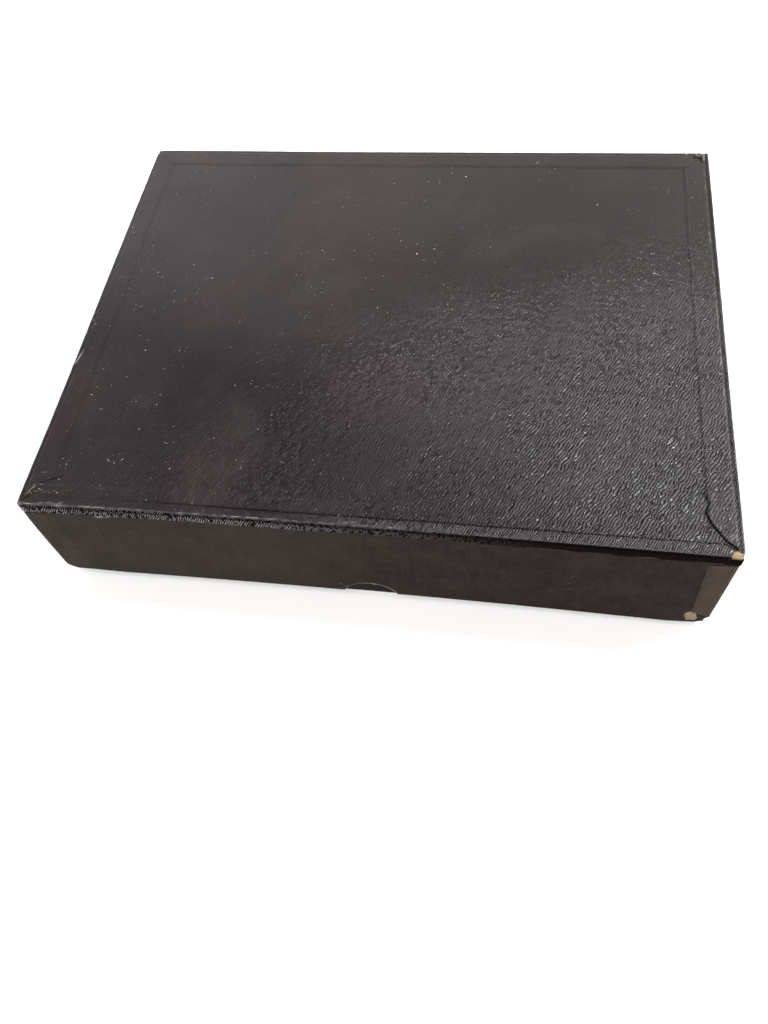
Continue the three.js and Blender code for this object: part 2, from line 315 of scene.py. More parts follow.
def cuts_for(lo, hi, ends, mid):
    out = []
    for s in ends:
        out += [lo + s, hi - s]
    k = max(1, int((hi - lo) / mid))
    out += list(np.linspace(lo, hi, k + 1)[1:-1])
    return sorted(set(round(v, 4) for v in out if lo + 1e-3 < v < hi - 1e-3))


def clone(node, body, material, warp, mid=6.0, ends=(0.35, 0.75, 1.15, 1.55, 3.0), zmid=6.0, fn=None, more=None, angle=38, attr_fn=None):
    """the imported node's own solid, cut into small faces and aged with the rest"""
    src = NODES[node].data
    bm = bmesh.new()
    bm.from_mesh(src)
    bmesh.ops.remove_doubles(bm, verts=bm.verts, dist=2e-6)
    bmesh.ops.dissolve_limit(bm, angle_limit=0.002, verts=bm.verts, edges=bm.edges)
    lo, hi = span(node)
    sets = [
        cuts_for(-HX, HX, ends, mid) if hi[0] - lo[0] > 4 else [],
        cuts_for(-HY, HY, ends, mid) if hi[1] - lo[1] > 4 else [],
        cuts_for(lo[2], hi[2], (), zmid) if hi[2] - lo[2] > zmid else [],
    ]
    if body == "base":
        sets[0] = cuts_for(-BHX, BHX, ends, mid) if hi[0] - lo[0] > 4 else []
        sets[1] = cuts_for(-BHY, BHY, ends, mid) if hi[1] - lo[1] > 4 else []
    for ax, vals in (more or {}).items():
        sets[ax] = sorted(set(sets[ax]) | set(vals))
    for ax in range(3):
        no = [0, 0, 0]
        no[ax] = 1
        for v in sets[ax]:
            if not lo[ax] + 0.01 < v < hi[ax] - 0.01:
                continue
            co = [0, 0, 0]
            co[ax] = v / 1000.0
            bmesh.ops.bisect_plane(bm, geom=bm.verts[:] + bm.edges[:] + bm.faces[:], plane_co=co, plane_no=no, dist=1e-8)
    me = bpy.data.meshes.new(node + "_v")
    bm.to_mesh(me)
    bm.free()
    V = np.array([v.co for v in me.vertices], float).reshape(-1, 3) * 1000.0
    F = [tuple(p.vertices) for p in me.polygons]
    at = attr_fn(V) if attr_fn else None
    if fn:
        V = fn(V)
    bpy.data.meshes.remove(me)
    return finish_mesh("v_" + node, V, F, at, material, body, [node], warp, angle)


# =====================================================================================
# materials
# =====================================================================================
class Mat:
    def __init__(self, name):
        self.m = bpy.data.materials.new(name)
        self.m.use_nodes = True
        self.t = self.m.node_tree
        self.t.nodes.clear()
        self.out = self.t.nodes.new("ShaderNodeOutputMaterial")
        self.b = self.t.nodes.new("ShaderNodeBsdfPrincipled")
        self.t.links.new(self.b.outputs[0], self.out.inputs[0])
        tc = self.t.nodes.new("ShaderNodeTexCoord")
        mm = self.t.nodes.new("ShaderNodeMapping")
        mm.inputs["Scale"].default_value = (1000, 1000, 1000)
        self.t.links.new(tc.outputs["Object"], mm.inputs["Vector"])
        self.P = mm.outputs[0]

    def link(self, a, b):
        if isinstance(a, (int, float)):
            b.default_value = a
        elif isinstance(a, (tuple, list)):
            b.default_value = a
        else:
            self.t.links.new(a, b)

    def math(self, op, a, b=0.0, c=0.0, clamp=False):
        n = self.t.nodes.new("ShaderNodeMath")
        n.operation = op
        n.use_clamp = clamp
        self.link(a, n.inputs[0])
        self.link(b, n.inputs[1])
        if op in ("MULTIPLY_ADD", "SMOOTH_MIN", "SMOOTH_MAX", "WRAP", "COMPARE"):
            self.link(c, n.inputs[2])
        return n.outputs[0]

    def add(self, a, b):
        return self.math("ADD", a, b)

    def mul(self, a, b):
        return self.math("MULTIPLY", a, b)

    def mx(self, a, b):
        return self.math("MAXIMUM", a, b)

    def ramp(self, v, lo, hi, a=0.0, b=1.0, smooth=True):
        n = self.t.nodes.new("ShaderNodeMapRange")
        n.interpolation_type = "SMOOTHSTEP" if smooth else "LINEAR"
        n.clamp = True
        self.link(v, n.inputs["Value"])
        n.inputs["From Min"].default_value = lo
        n.inputs["From Max"].default_value = hi
        n.inputs["To Min"].default_value = a
        n.inputs["To Max"].default_value = b
        return n.outputs[0]

    def mapped(self, scale=(1, 1, 1), rot=(0, 0, 0), loc=(0, 0, 0), vec=None):
        r = self.t.nodes.new("ShaderNodeMapping")
        r.inputs["Rotation"].default_value = rot
        self.link(vec if vec is not None else self.P, r.inputs["Vector"])
        s = self.t.nodes.new("ShaderNodeMapping")
        s.inputs["Scale"].default_value = scale
        s.inputs["Location"].default_value = loc
        self.t.links.new(r.outputs[0], s.inputs["Vector"])
        return s.outputs[0]

    def noise(self, scale, detail=2.0, rough=0.5, vec=None, dist=0.0, out="Fac"):
        n = self.t.nodes.new("ShaderNodeTexNoise")
        n.inputs["Scale"].default_value = scale
        n.inputs["Detail"].default_value = detail
        n.inputs["Roughness"].default_value = rough
        n.inputs["Distortion"].default_value = dist
        self.link(vec if vec is not None else self.P, n.inputs["Vector"])
        return n.outputs[out]

    def voronoi(self, scale, feature="F1", vec=None, rand=1.0, out="Distance"):
        n = self.t.nodes.new("ShaderNodeTexVoronoi")
        n.feature = feature
        n.inputs["Scale"].default_value = scale
        n.inputs["Randomness"].default_value = rand
        self.link(vec if vec is not None else self.P, n.inputs["Vector"])
        return n.outputs[out]

    def vadd(self, a, b, scale=1.0):
        s = self.t.nodes.new("ShaderNodeVectorMath")
        s.operation = "SCALE"
        self.link(b, s.inputs[0])
        s.inputs["Scale"].default_value = scale
        n = self.t.nodes.new("ShaderNodeVectorMath")
        n.operation = "ADD"
        self.link(a, n.inputs[0])
        self.t.links.new(s.outputs[0], n.inputs[1])
        return n.outputs[0]

    def sep(self, vec=None):
        n = self.t.nodes.new("ShaderNodeSeparateXYZ")
        self.link(vec if vec is not None else self.P, n.inputs[0])
        return n.outputs

    def mix(self, f, a, b, blend="MIX"):
        n = self.t.nodes.new("ShaderNodeMix")
        n.data_type = "RGBA"
        n.blend_type = blend
        n.clamp_factor = True
        self.link(f, n.inputs[0])
        for v, s in ((a, n.inputs[6]), (b, n.inputs[7])):
            if isinstance(v, (tuple, list)):
                s.default_value = (*v[:3], 1)
            else:
                self.t.links.new(v, s)
        return n.outputs[2]

    def attr(self, name):
        n = self.t.nodes.new("ShaderNodeAttribute")
        n.attribute_type = "GEOMETRY"
        n.attribute_name = name
        return n.outputs["Fac"]

    def bump(self, height, distance, strength=1.0, normal=None):
        n = self.t.nodes.new("ShaderNodeBump")
        n.inputs["Distance"].default_value = distance / 1000.0
        n.inputs["Strength"].default_value = strength
        self.link(height, n.inputs["Height"])
        if normal is not None:
            self.t.links.new(normal, n.inputs["Normal"])
        return n.outputs[0]

    def done(self, color, rough, normal=None, spec=0.5):
        self.link(color, self.b.inputs["Base Color"]) if not isinstance(color, tuple) else setattr(self.b.inputs["Base Color"], "default_value", (*color, 1))
        self.link(rough, self.b.inputs["Roughness"])
        if normal is not None:
            self.t.links.new(normal, self.b.inputs["Normal"])
        self.b.inputs["Specular IOR Level"].default_value = spec if isinstance(spec, float) else 0.42
        if not isinstance(spec, float):
            self.link(spec, self.b.inputs["Specular IOR Level"])
        return self.m


def grain_height(g, pitch=1.05):
    """morocco-like grain: short worm-shaped ridges about a millimetre apart, running across the corner of the box"""
    x, y, z = g.sep()
    u = g.add(g.add(g.mul(x, -0.875 / pitch), g.mul(y, 0.485 / pitch)), g.mul(z, 0.50 / pitch))
    wob1 = g.noise(0.34, 0.0, 0.5)
    wob2 = g.noise(0.85, 0.0, 0.5, g.mapped((1, 1, 1), (0, 0, 0), (40, 3, 7)))
    u = g.add(u, g.mul(g.math("SUBTRACT", wob1, 0.5), 1.35))
    u = g.add(u, g.mul(g.math("SUBTRACT", wob2, 0.5), 0.66))
    ridge = g.ramp(g.math("SINE", g.mul(u, 2 * math.pi)), -0.75, 0.8)
    # the ridges are broken into short lengths
    comb = g.t.nodes.new("ShaderNodeCombineXYZ")
    g.link(g.add(g.mul(x, 0.485 * 0.52), g.mul(y, 0.875 * 0.52)), comb.inputs[0])
    g.link(g.add(g.mul(x, -0.875 * 1.15), g.mul(y, 0.485 * 1.15)), comb.inputs[1])
    g.link(g.mul(z, 0.6), comb.inputs[2])
    along = g.noise(1.0, 0.0, 0.5, comb.outputs[0])
    amp = g.ramp(along, 0.32, 0.54, 0.58, 1.0)
    even = amp
    # fullest at the front right, flatter towards the back and the left; the painted crease shade and tip highlights
    # follow it
    place = g.add(g.mul(x, 0.0062), g.mul(y, -0.0050))
    place = g.add(place, g.ramp(y, -30.0, 72.0, 0.0, -0.70))
    place = g.add(place, g.mul(g.math("SUBTRACT", g.noise(0.02, 2.0, 0.5, g.mapped((1, 1, 1), (0, 0, 0), (8, 66, 2))), 0.5), 0.35))
    amp = g.mul(amp, g.ramp(place, -0.65, 0.98, 0.10, 1.0))
    fine = g.noise(2.9, 2.0, 0.6)
    swell = g.noise(0.6, 1.0, 0.5, g.mapped((1, 1, 1), (0, 0, 0), (9, 1, 70)))
    h = g.mul(g.mul(ridge, amp), 0.85)
    h = g.add(h, g.mul(fine, 0.10))
    h = g.add(h, g.mul(swell, 0.12))
    return h, g.mul(ridge, amp), fine, g.mul(ridge, even)


def leatherette(name, dark, light, purple, rough, spec, dust=1.0, depth=0.19, pale_wear_and_glint=(0.30, 0.27, 0.25), tip_wear_and_glint=None, pitch=1.05):
    g = Mat(name)
    h, crease, fine, tips = grain_height(g, pitch)
    x, y, z = g.sep()
    # broad tone: handling and fading
    broad = g.noise(0.012, 3.0, 0.55)
    mid = g.noise(0.045, 3.0, 0.6)
    col = g.mix(g.ramp(g.add(g.mul(broad, 0.6), g.mul(mid, 0.4)), 0.38, 0.62), dark, light)
    # reddish, purplish patches where the dye has shifted
    blot = g.ramp(g.noise(0.012, 3.0, 0.6, g.mapped((1, 1, 1), (0, 0, 0.3), (41, 17, 3))), 0.42, 0.66)
    col = g.mix(g.mul(blot, g.ramp(x, -110.0, 50.0, 0.60, 0.08)), col, purple)
    qx, qy = g.mul(g.add(x, 1.3), 1 / 24.0), g.mul(g.add(y, 41.9), 1 / 17.0)
    spot = g.add(g.add(g.mul(qx, qx), g.mul(qy, qy)), g.mul(g.math("SUBTRACT", g.noise(0.045, 4.0, 0.65), 0.5), 3.6))
    col = g.mix(g.ramp(spot, 0.0, 1.7, 0.55, 0.0), col, purple)
    # painted shade: darker towards the front left
    col = g.mix(g.ramp(g.add(g.mul(y, -1.0), g.mul(x, -0.35)), -10.0, 75.0, 0.0, 0.54), col, (0.0045, 0.0028, 0.0032))
    # painted light: paler and warmer towards the back right
    col = g.mix(g.mul(g.mul(g.ramp(y, -45.0, 70.0), g.ramp(x, -95.0, 60.0)), 0.88), col, (0.0400, 0.0268, 0.0262))
    # painted shade in the creases of the grain, stronger towards the right
    col = g.mix(g.mul(g.ramp(crease, 0.0, 0.6, 1.0, 0.0), g.ramp(x, -60.0, 70.0, 0.25, 0.82)), col, (0.0035, 0.0022, 0.0024))
    if tip_wear_and_glint:
        # the tips of the grain are painted pale: partly rubbed wear, partly painted highlights standing in for glints
        (x0, x1), strength, tone = tip_wear_and_glint
        spots = g.ramp(g.noise(0.16, 3.0, 0.6, g.mapped((1, 1, 1), (0, 0, 0), (21, 4, 9))), 0.34, 0.56)
        tip_glint = g.mul(g.ramp(tips, 0.60, 0.92) if name.endswith("_wall") else g.ramp(crease, 0.48, 0.84), g.mul(g.ramp(x, x0, x1), g.add(g.mul(spots, 0.28), 0.64)))
        if name.endswith("_wall"):
            # the pale tips, partly painted highlight, are strongest on the front
            tip_glint = g.mul(tip_glint, g.ramp(y, -100.5, -93.0, 1.0, 0.28))
        col = g.mix(g.mul(tip_glint, strength), col, tone)
    # hazy rubbed film, in streaks
    haze = g.ramp(g.noise(0.03, 5.0, 0.68, g.mapped((1.0, 0.55, 1.0), (0, 0, math.radians(35)), (7, 3, 0)), 0.8), 0.48, 0.78)
    col = g.mix(g.mul(haze, 0.045 * dust), col, (0.21, 0.185, 0.175))
    # pale marks from the vertex attribute: wear, and painted highlights on lifted edges
    wear = g.attr("wear")
    wnoise = g.ramp(g.noise(1.7, 4.0, 0.7), 0.34, 0.62)
    wear_glint_mask = g.math("MULTIPLY", wear, g.add(g.mul(wnoise, 0.85), 0.15), clamp=True)
    col = g.mix(wear_glint_mask, col, pale_wear_and_glint)
    # painted shade and shadow from the vertex attribute along creases, the crack, the fold, the step and cut edges;
    # dirt at the edging's cut ends
    grime = g.attr("grime")
    col = g.mix(g.math("MULTIPLY", grime, 0.9, clamp=True), col, (0.0022, 0.0018, 0.0018))
    tan = g.attr("tan")
    fib = g.noise(1.3, 5.0, 0.75)
    tanc = g.mix(g.ramp(fib, 0.35, 0.7), (0.30, 0.17, 0.075), (0.66, 0.47, 0.27))
    col = g.mix(g.ramp(g.add(tan, g.mul(g.math("SUBTRACT", fib, 0.5), 0.5)), 0.45, 0.6), col, tanc)
    if dust > 0:
        # fine white specks, thick on the left and the middle and thin on the right
        left = g.ramp(x, -120.0, 110.0, 1.0, 0.22, smooth=False)
        clump = g.ramp(g.noise(0.035, 3.0, 0.6, g.mapped((1, 1, 1), (0, 0, 0), (3, 90, 0))), 0.36, 0.66)
        dens = g.mul(left, g.add(g.mul(clump, 0.9), 0.15))
        total = None
        for sc, size, share, loc, bend in ((0.40, 0.095, 0.60, (5, 1, 8), 0.12), (0.15, 0.055, 0.95, (55, 31, 2), 0.25), (0.95, 0.13, 0.40, (15, 71, 5), 0.1)):
            vec = g.mapped((1, 1, 1), (0, 0, 0.2), loc)
            vec = g.vadd(vec, g.noise(1.1, 1.0, 0.5, out="Color"), bend)
            d = g.voronoi(sc, "F1", vec)
            cell = g.sep(g.voronoi(sc, "F1", vec, out="Color"))
            keep = g.math("LESS_THAN", cell[0], g.mul(dens, share))
            dot = g.ramp(d, size * 0.55, size, 1.0, 0.0)
            dot = g.mul(g.mul(dot, keep), g.ramp(cell[1], 0.0, 1.0, 0.25, 1.0, smooth=False))
            total = dot if total is None else g.mx(total, dot)
        # short hairs and fibres: thin contour lines of a slow noise, broken into pieces
        for k, (sc, loc) in enumerate(((0.05, (9, 9, 0)),)):
            hn = g.noise(sc, 1.0, 0.4, g.mapped((1, 1, 1), (0, 0, 0.5 + k), loc), 0.3)
            line = g.ramp(g.math("ABSOLUTE", g.math("SUBTRACT", hn, 0.5)), 0.0004, 0.0011, 1.0, 0.0)
            piece = g.ramp(g.noise(0.16, 1.0, 0.4, g.mapped((1, 1, 1), (0, 0, 0), (loc[1], loc[0], 1))), 0.70, 0.72)
            total = g.mx(total, g.mul(g.mul(line, piece), 0.5))
        total = g.math("MULTIPLY", total, g.math("SUBTRACT", 1.0, g.attr("nodust")), clamp=True)
        col = g.mix(g.mul(total, 0.85 * dust), col, (0.62, 0.58, 0.54))
        r2 = g.mul(total, 0.5)
    else:
        r2 = 0.0
    r = g.add(g.ramp(g.noise(0.05, 4.0, 0.65, g.mapped((1, 1, 1), (0, 0, 0), (63, 3, 0))), 0.3, 0.7, rough - 0.05, rough + 0.07), g.mul(g.math("SUBTRACT", fine, 0.5), 0.12))
    r = g.add(r, g.mul(haze, 0.10))
    r = g.add(r, g.ramp(g.add(x, g.mul(y, -0.4)), -40.0, 95.0, 0.09, 0.0))
    r = g.add(r, g.mul(wear_glint_mask, 0.3))
    r = g.math("ADD", r, r2, clamp=True)
    b = g.bump(h, depth, 1.0)
    b = g.bump(g.noise(0.05, 3.0, 0.55), 0.35, 0.30, b)
    if spec > 0:
        spec = g.mul(g.ramp(g.add(g.mul(y, -1.0), g.mul(x, -0.5)), 15.0, 80.0, 1.0, 0.60), spec)
        spec = g.mul(g.mul(spec, g.ramp(x, -120.0, -20.0, 1.34, 1.0)), g.math("SUBTRACT", 1.0, g.math("MULTIPLY", grime, 0.85, clamp=True)))
    return g.done(col, r, b, spec)


def wall_paper(name, left, right, rough=0.78, spec=0.12, scuff=(0.085, 0.070, 0.056)):
    """smoother covering paper of the walls: brown-black, faintly ribbed, rubbed"""
    g = Mat(name)
    x, y, z = g.sep()
    broad = g.noise(0.018, 3.0, 0.55)
    col = g.mix(g.ramp(g.add(x, g.mul(g.math("SUBTRACT", broad, 0.5), 160.0)), -95.0, 70.0), left, right)
    cloud = g.ramp(g.noise(0.07, 4.0, 0.6), 0.35, 0.7)
    col = g.mix(g.mul(cloud, 0.16), col, scuff)
    rib = g.noise(1.0, 3.0, 0.6, g.mapped((1.5, 1.5, 0.18), (0, 0, 0), (4, 4, 4)))
    col = g.mix(g.mul(g.ramp(rib, 0.45, 0.75), 0.14), col, scuff)
    fibre = g.noise(2.0, 4.0, 0.7)
    col = g.mix(g.mul(g.ramp(fibre, 0.55, 0.8), 0.16), col, scuff)
    pit = g.ramp(g.noise(1.2, 2.0, 0.5, g.mapped((1, 1, 1), (0, 0, 0), (3, 8, 1))), 0.58, 0.75)
    col = g.mix(g.mul(pit, 0.30), col, (0.006, 0.005, 0.004))
    if name.endswith("_ends"):
        col = g.mix(g.mul(g.mul(g.ramp(g.add(x, g.mul(g.math("SUBTRACT", broad, 0.5), 4.0)), 116.0, 123.0, 0.62, 0.0), g.ramp(x, 100.0, 108.0)), g.ramp(y, -100.6, -99.8, 1.0, 0.0)), col, (0.0120, 0.0078, 0.0070))
    wear = g.attr("wear")
    wn = g.ramp(g.noise(2.6, 4.0, 0.7), 0.38, 0.60)
    wear_glint_mask = g.math("MULTIPLY", wear, g.add(g.mul(wn, 0.8), 0.2), clamp=True)
    col = g.mix(wear_glint_mask, col, (0.40, 0.36, 0.30))
    # painted shade from the vertex attribute: darker just under the edging's lower edge
    grime = g.attr("grime")
    col = g.mix(g.math("MULTIPLY", grime, 0.9, clamp=True), col, (0.002, 0.0017, 0.0015))
    vec = g.mapped((1, 1, 1), (0, 0, 0), (2, 2, 2))
    d = g.voronoi(0.4, "F1", vec)
    cell = g.sep(g.voronoi(0.4, "F1", vec, out="Color"))
    dot = g.mul(g.ramp(d, 0.04, 0.08, 1.0, 0.0), g.math("LESS_THAN", cell[0], 0.05))
    col = g.mix(g.mul(dot, 0.45), col, (0.4, 0.36, 0.32))
    h = g.add(g.mul(rib, 0.8), g.mul(g.noise(3.5, 2.0, 0.6), 0.3))
    b = g.bump(h, 0.05, 0.9)
    b = g.bump(g.noise(0.08, 3.0, 0.6), 0.6, 0.30, b)
    r = g.ramp(g.noise(0.3, 4.0, 0.65), 0.3, 0.7, rough - 0.06, rough + 0.08)
    return g.done(col, g.math("ADD", r, g.mul(wear_glint_mask, 0.15), clamp=True), b, spec)


def strawboard(name, tint=1.0):
    g = Mat(name)
    f1 = g.noise(1.6, 6.0, 0.75, g.mapped((1, 1, 3.0)))
    f2 = g.noise(0.25, 4.0, 0.6)
    col = g.mix(g.ramp(f1, 0.3, 0.7), (0.13 * tint, 0.085 * tint, 0.042 * tint), (0.50 * tint, 0.378 * tint, 0.215 * tint))
    col = g.mix(g.mul(g.ramp(f2, 0.4, 0.7), 0.35), col, (0.30 * tint, 0.18 * tint, 0.09 * tint))
    fleck = g.ramp(g.noise(3.0, 2.0, 0.5, g.mapped((0.3, 1, 1), (0, 0, 0.7))), 0.66, 0.72)
    col = g.mix(g.mul(fleck, 0.6), col, (0.12, 0.07, 0.035))
    b = g.bump(g.add(f1, g.mul(g.noise(5.0, 3.0, 0.7), 0.4)), 0.16, 1.0)
    return g.done(col, 0.92, b, 0.2)


def kraft(name):
    g = Mat(name)
    f1 = g.noise(2.4, 5.0, 0.7, g.mapped((0.4, 0.4, 1.5)))
    col = g.mix(g.ramp(f1, 0.3, 0.7), (0.085, 0.062, 0.036), (0.24, 0.183, 0.118))
    stain = g.ramp(g.noise(0.12, 4.0, 0.6), 0.45, 0.7)
    col = g.mix(g.mul(stain, 0.4), col, (0.12, 0.08, 0.045))
    b = g.bump(f1, 0.05, 0.9)
    return g.done(col, 0.8, b, 0.25)


def lining(name):
    g = Mat(name)
    f1 = g.noise(2.6, 5.0, 0.7, g.mapped((0.6, 1.2, 0.6)))
    col = g.mix(g.ramp(f1, 0.3, 0.7), (0.60, 0.52, 0.39), (0.72, 0.64, 0.50))
    age = g.ramp(g.noise(0.02, 4.0, 0.6), 0.35, 0.7)
    col = g.mix(g.mul(age, 0.35), col, (0.50, 0.39, 0.25))
    spot = g.ramp(g.noise(0.16, 5.0, 0.7, g.mapped((1, 1, 1), (0, 0, 0), (9, 5, 1))), 0.66, 0.74)
    col = g.mix(g.mul(spot, 0.5), col, (0.36, 0.22, 0.11))
    b = g.bump(g.add(f1, g.mul(g.noise(0.3, 3.0, 0.6), 1.5)), 0.06, 0.8)
    return g.done(col, 0.88, b, 0.25)


M_PANEL = leatherette("panel_leatherette", (0.0122, 0.0069, 0.0077), (0.0172, 0.0111, 0.0118), (0.036, 0.013, 0.018), 0.26, 0.45, dust=1.0, depth=0.20,
                      tip_wear_and_glint=((-20.0, 105.0), 0.50, (0.145, 0.140, 0.152)))
M_EDGING = leatherette("edging_leatherette", (0.0120, 0.0072, 0.0078), (0.0175, 0.0113, 0.0118), (0.034, 0.012, 0.017), 0.26, 0.45, dust=0.6, depth=0.15,
                       pale_wear_and_glint=(0.40, 0.37, 0.35), tip_wear_and_glint=((-40.0, 15.0), 0.46, (0.20, 0.185, 0.19)), pitch=0.78)
# the edging strip where it turns down the walls: a shaded copy of its leatherette, painted darker and without specular;
# its pale grain dashes are partly painted highlights
M_BAND = leatherette("edging_leatherette_wall", (0.0085, 0.0047, 0.0043), (0.0118, 0.0071, 0.0065), (0.015, 0.0060, 0.0065), 0.55, 0.0, dust=0.0, depth=0.10,
                     pale_wear_and_glint=(0.40, 0.37, 0.36), tip_wear_and_glint=((80.0, -60.0), 0.58, (0.33, 0.315, 0.32)), pitch=0.78)
M_WALL = wall_paper("wall_paper_long", (0.0210, 0.0172, 0.0143), (0.0128, 0.0080, 0.0073), spec=0.05, scuff=(0.050, 0.042, 0.034))
M_WALL_END = wall_paper("wall_paper_ends", (0.0225, 0.0183, 0.0155), (0.035, 0.0270, 0.0205), spec=0.05, scuff=(0.080, 0.064, 0.048))
M_BASE = wall_paper("wall_paper_base", (0.0140, 0.0110, 0.0090), (0.0118, 0.0080, 0.0070), spec=0.04, scuff=(0.045, 0.037, 0.030))
M_BOARD = strawboard("strawboard")
M_TAPE = kraft("gummed_tape")
M_LINING = lining("lining_paper")


# =====================================================================================
# lid: top panel
# =====================================================================================
CRACK = [(116.3, -71.8), (115.4, -78.2), (117.2, -81.9), (115.8, -85.6), (117.4, -90.2), (121.6, -96.3), (125.4, -99.3)]
FL_RIDGE = [(-126.1, -100.5), (-121.9, -93.1)]
FL_CREASE = [(-121.9, -93.1), (-117.5, -90.9), (-113.0, -89.1)]
NICK = [(-124.9, -27.2), (-125.6, -30.4), (-126.6, -34.8)]
BR_FOLD = [(123.7, 101.0), (122.6, 98.2), (123.8, 96.7), (126.2, 91.6)]


def panel():
    px0, px1, py0, py1 = PAN_LO[0], PAN_HI[0], PAN_LO[1], PAN_HI[1]
    xs = stations(px0, px1, 0.42, 2.0, 15.5)
    xs = np.unique(np.round(np.concatenate([np.arange(px0, -112.0, 0.22), xs[(xs >= -112.0) & (xs < 112.0)], np.arange(112.0, px1, 0.22), [px1]]), 4))
    ys = stations(py0, py1, 0.42, 2.0, 13.5)
    ys = np.unique(np.round(np.concatenate([np.arange(py0, -76.0, 0.24), ys[(ys >= -76.0) & (ys < 88.0)], np.arange(88.0, py1, 0.3), [py1]]), 4))
    X, Y = np.meshgrid(xs, ys, indexing="ij")
    X0, Y0 = X.copy(), Y.copy()
    # cut edges: nearly straight, cut by hand. The front one stays straight although the wall under it bows.
    def near(edge, v, w=3.0):
        return np.exp(-((v - edge) / w) ** 2)
    front = -0.97 * np.clip(1 - (X / HX) ** 2, 0, 1) + 0.10 * vnoise(X / 31, 0, 3) + 0.05 * vnoise(X / 5.3, 2, 4)
    front -= 2.1 * sstep(120.4, 124.8, X)
    Y = Y + front * sstep(py0 + 14, py0, Y0)
    Y = Y + (0.12 * vnoise(X / 43, 7, 5) + 0.05 * vnoise(X / 6, 3, 6)) * near(py1, Y0)
    X = X + (0.12 * vnoise(Y0 / 41, 9, 7) + 0.05 * vnoise(Y0 / 6, 4, 8)) * near(px1, X0)
    X = X + (0.14 * vnoise(Y0 / 37, 1, 9) + 0.06 * vnoise(Y0 / 5, 5, 10)) * near(px0, X0)
    # step down where the edging under the panel stops
    ex = HX - np.abs(X)
    ey = HY - np.abs(Y)
    ein = EDG_TOP_SIDE + 0.35 * vnoise(X / 40, Y / 40, 31) + 0.15 * vnoise(X / 9, Y / 9, 32)
    ef = np.where(Y < 0, ein - EDG_TOP_SIDE + EDG_IN, ein)
    sw = 1.3 - 0.75 * sstep(40, 100, X)
    sx = sstep(ein - sw, ein + sw, ex)
    sy = sstep(ef - 1.3, ef + 1.3, ey)
    border = 1 - sx * sy
    Z = TOP - 0.13 * (1 - border)
    # thickening where the mitred ends of the edging lie under the panel
    wear = np.zeros_like(Z)
    grime = np.zeros_like(Z)
    for cx, cy in ((-1, -1), (-1, 1), (1, 1)):
        if (cx, cy) == (-1, -1):
            pts = [(-126.1, -100.5), (-121.9, -93.1), (-117.4, -91.4)]
        else:
            pts = [(cx * HX, cy * HY), (cx * (HX - 5), cy * (HY - 4.6)), (cx * (HX - 10.0), cy * (HY - 9.6))]
        d, s, t = line_dist(X, Y, pts)
        Z += 0.07 * np.exp(-(d / 0.5) ** 2)
    # front left: pale rubbed ridge, then a crease going inwards, with painted shade along it
    d, s, t = line_dist(X, Y, FL_RIDGE)
    wob = 0.18 * vnoise(X * 0.9, Y * 0.9, 40)
    wear = np.maximum(wear, 0.75 * np.exp(-((d * s + wob) / 0.17) ** 2))
    d, s, t = line_dist(X, Y, FL_CREASE)
    grime = np.maximum(grime, 0.80 * np.exp(-(d / 0.36) ** 2))
    Z -= 0.10 * np.exp(-(d / 0.35) ** 2)
    d, s, t = line_dist(X, Y, [(-121.9, -93.1), (-120.9, -92.6), (-119.6, -93.0)])
    wear = np.maximum(wear, 0.45 * np.exp(-(d / 0.2) ** 2))
    d, s, t = line_dist(X, Y, [(-121.6, -87.6), (-119.8, -87.4)])
    wear = np.maximum(wear, 0.35 * np.exp(-(d / 0.2) ** 2))
    for k in range(9):
        fx, fy = -123.6 + 3.9 * k / 2.2, -96.4 + 0.5 * ((k * 7) % 3)
        d, s, t = line_dist(X, Y, [(fx, fy), (fx + 0.7 + 0.25 * (k % 3), fy + 0.25 * ((k % 4) - 1.5))])
        wear = np.maximum(wear, (0.45 - 0.035 * k) * np.exp(-(d / 0.2) ** 2))
    # front right: torn diagonal, the part beyond it lifted, with a painted shadow along the tear and a painted
    # highlight on the lifted lip
    d, s, t = line_dist(X, Y, CRACK)
    ds = d * s                                             # line walked towards the corner: its left side is beyond
    far = -ds
    lift = np.where(far > 0, np.exp(-far / 5.5) * sstep(-0.05, 0.16, far), 0.0) * sstep(0.05, 0.5, t)
    Z += 0.70 * lift * (0.8 + 0.35 * vnoise(X / 3.1, Y / 3.1, 41))
    cut_top = np.exp(-((ds - 0.18) / 0.26) ** 2) * sstep(0.1, 0.45, t)
    grime = np.maximum(grime, 1.15 * np.exp(-((ds - 0.16) / 0.46) ** 2) * sstep(0.04, 0.38, t))
    lipw = np.exp(-((far - 0.35) / 0.28) ** 2) * sstep(0.25, 0.5, t)
    wear = np.maximum(wear, 0.30 * lipw * (vnoise(X * 1.2, Y * 1.2, 43) > -0.2))
    # back right: the corner of the panel has come up and crumpled
    d, s, t = line_dist(X, Y, BR_FOLD)
    inside = (X + 0.75 * (Y - 96.4) > 123.2)
    curl = np.where(inside, d, 0.0)
    Z += 0.72 * curl * (1 + 0.3 * vnoise(X * 1.1, Y * 1.1, 44)) + 0.12 * np.where(inside, vnoise(X * 2.0, Y * 2.0, 45), 0)
    wear = np.maximum(wear, 0.8 * np.where(inside, sstep(1.2, 0.2, np.minimum(X[-1:, :] - X, Y[:, -1:] - Y)), 0))
    # painted shade along the fold
    grime = np.maximum(grime, 0.95 * np.exp(-(d / 0.4) ** 2) * sstep(0.12, 0.3, t))
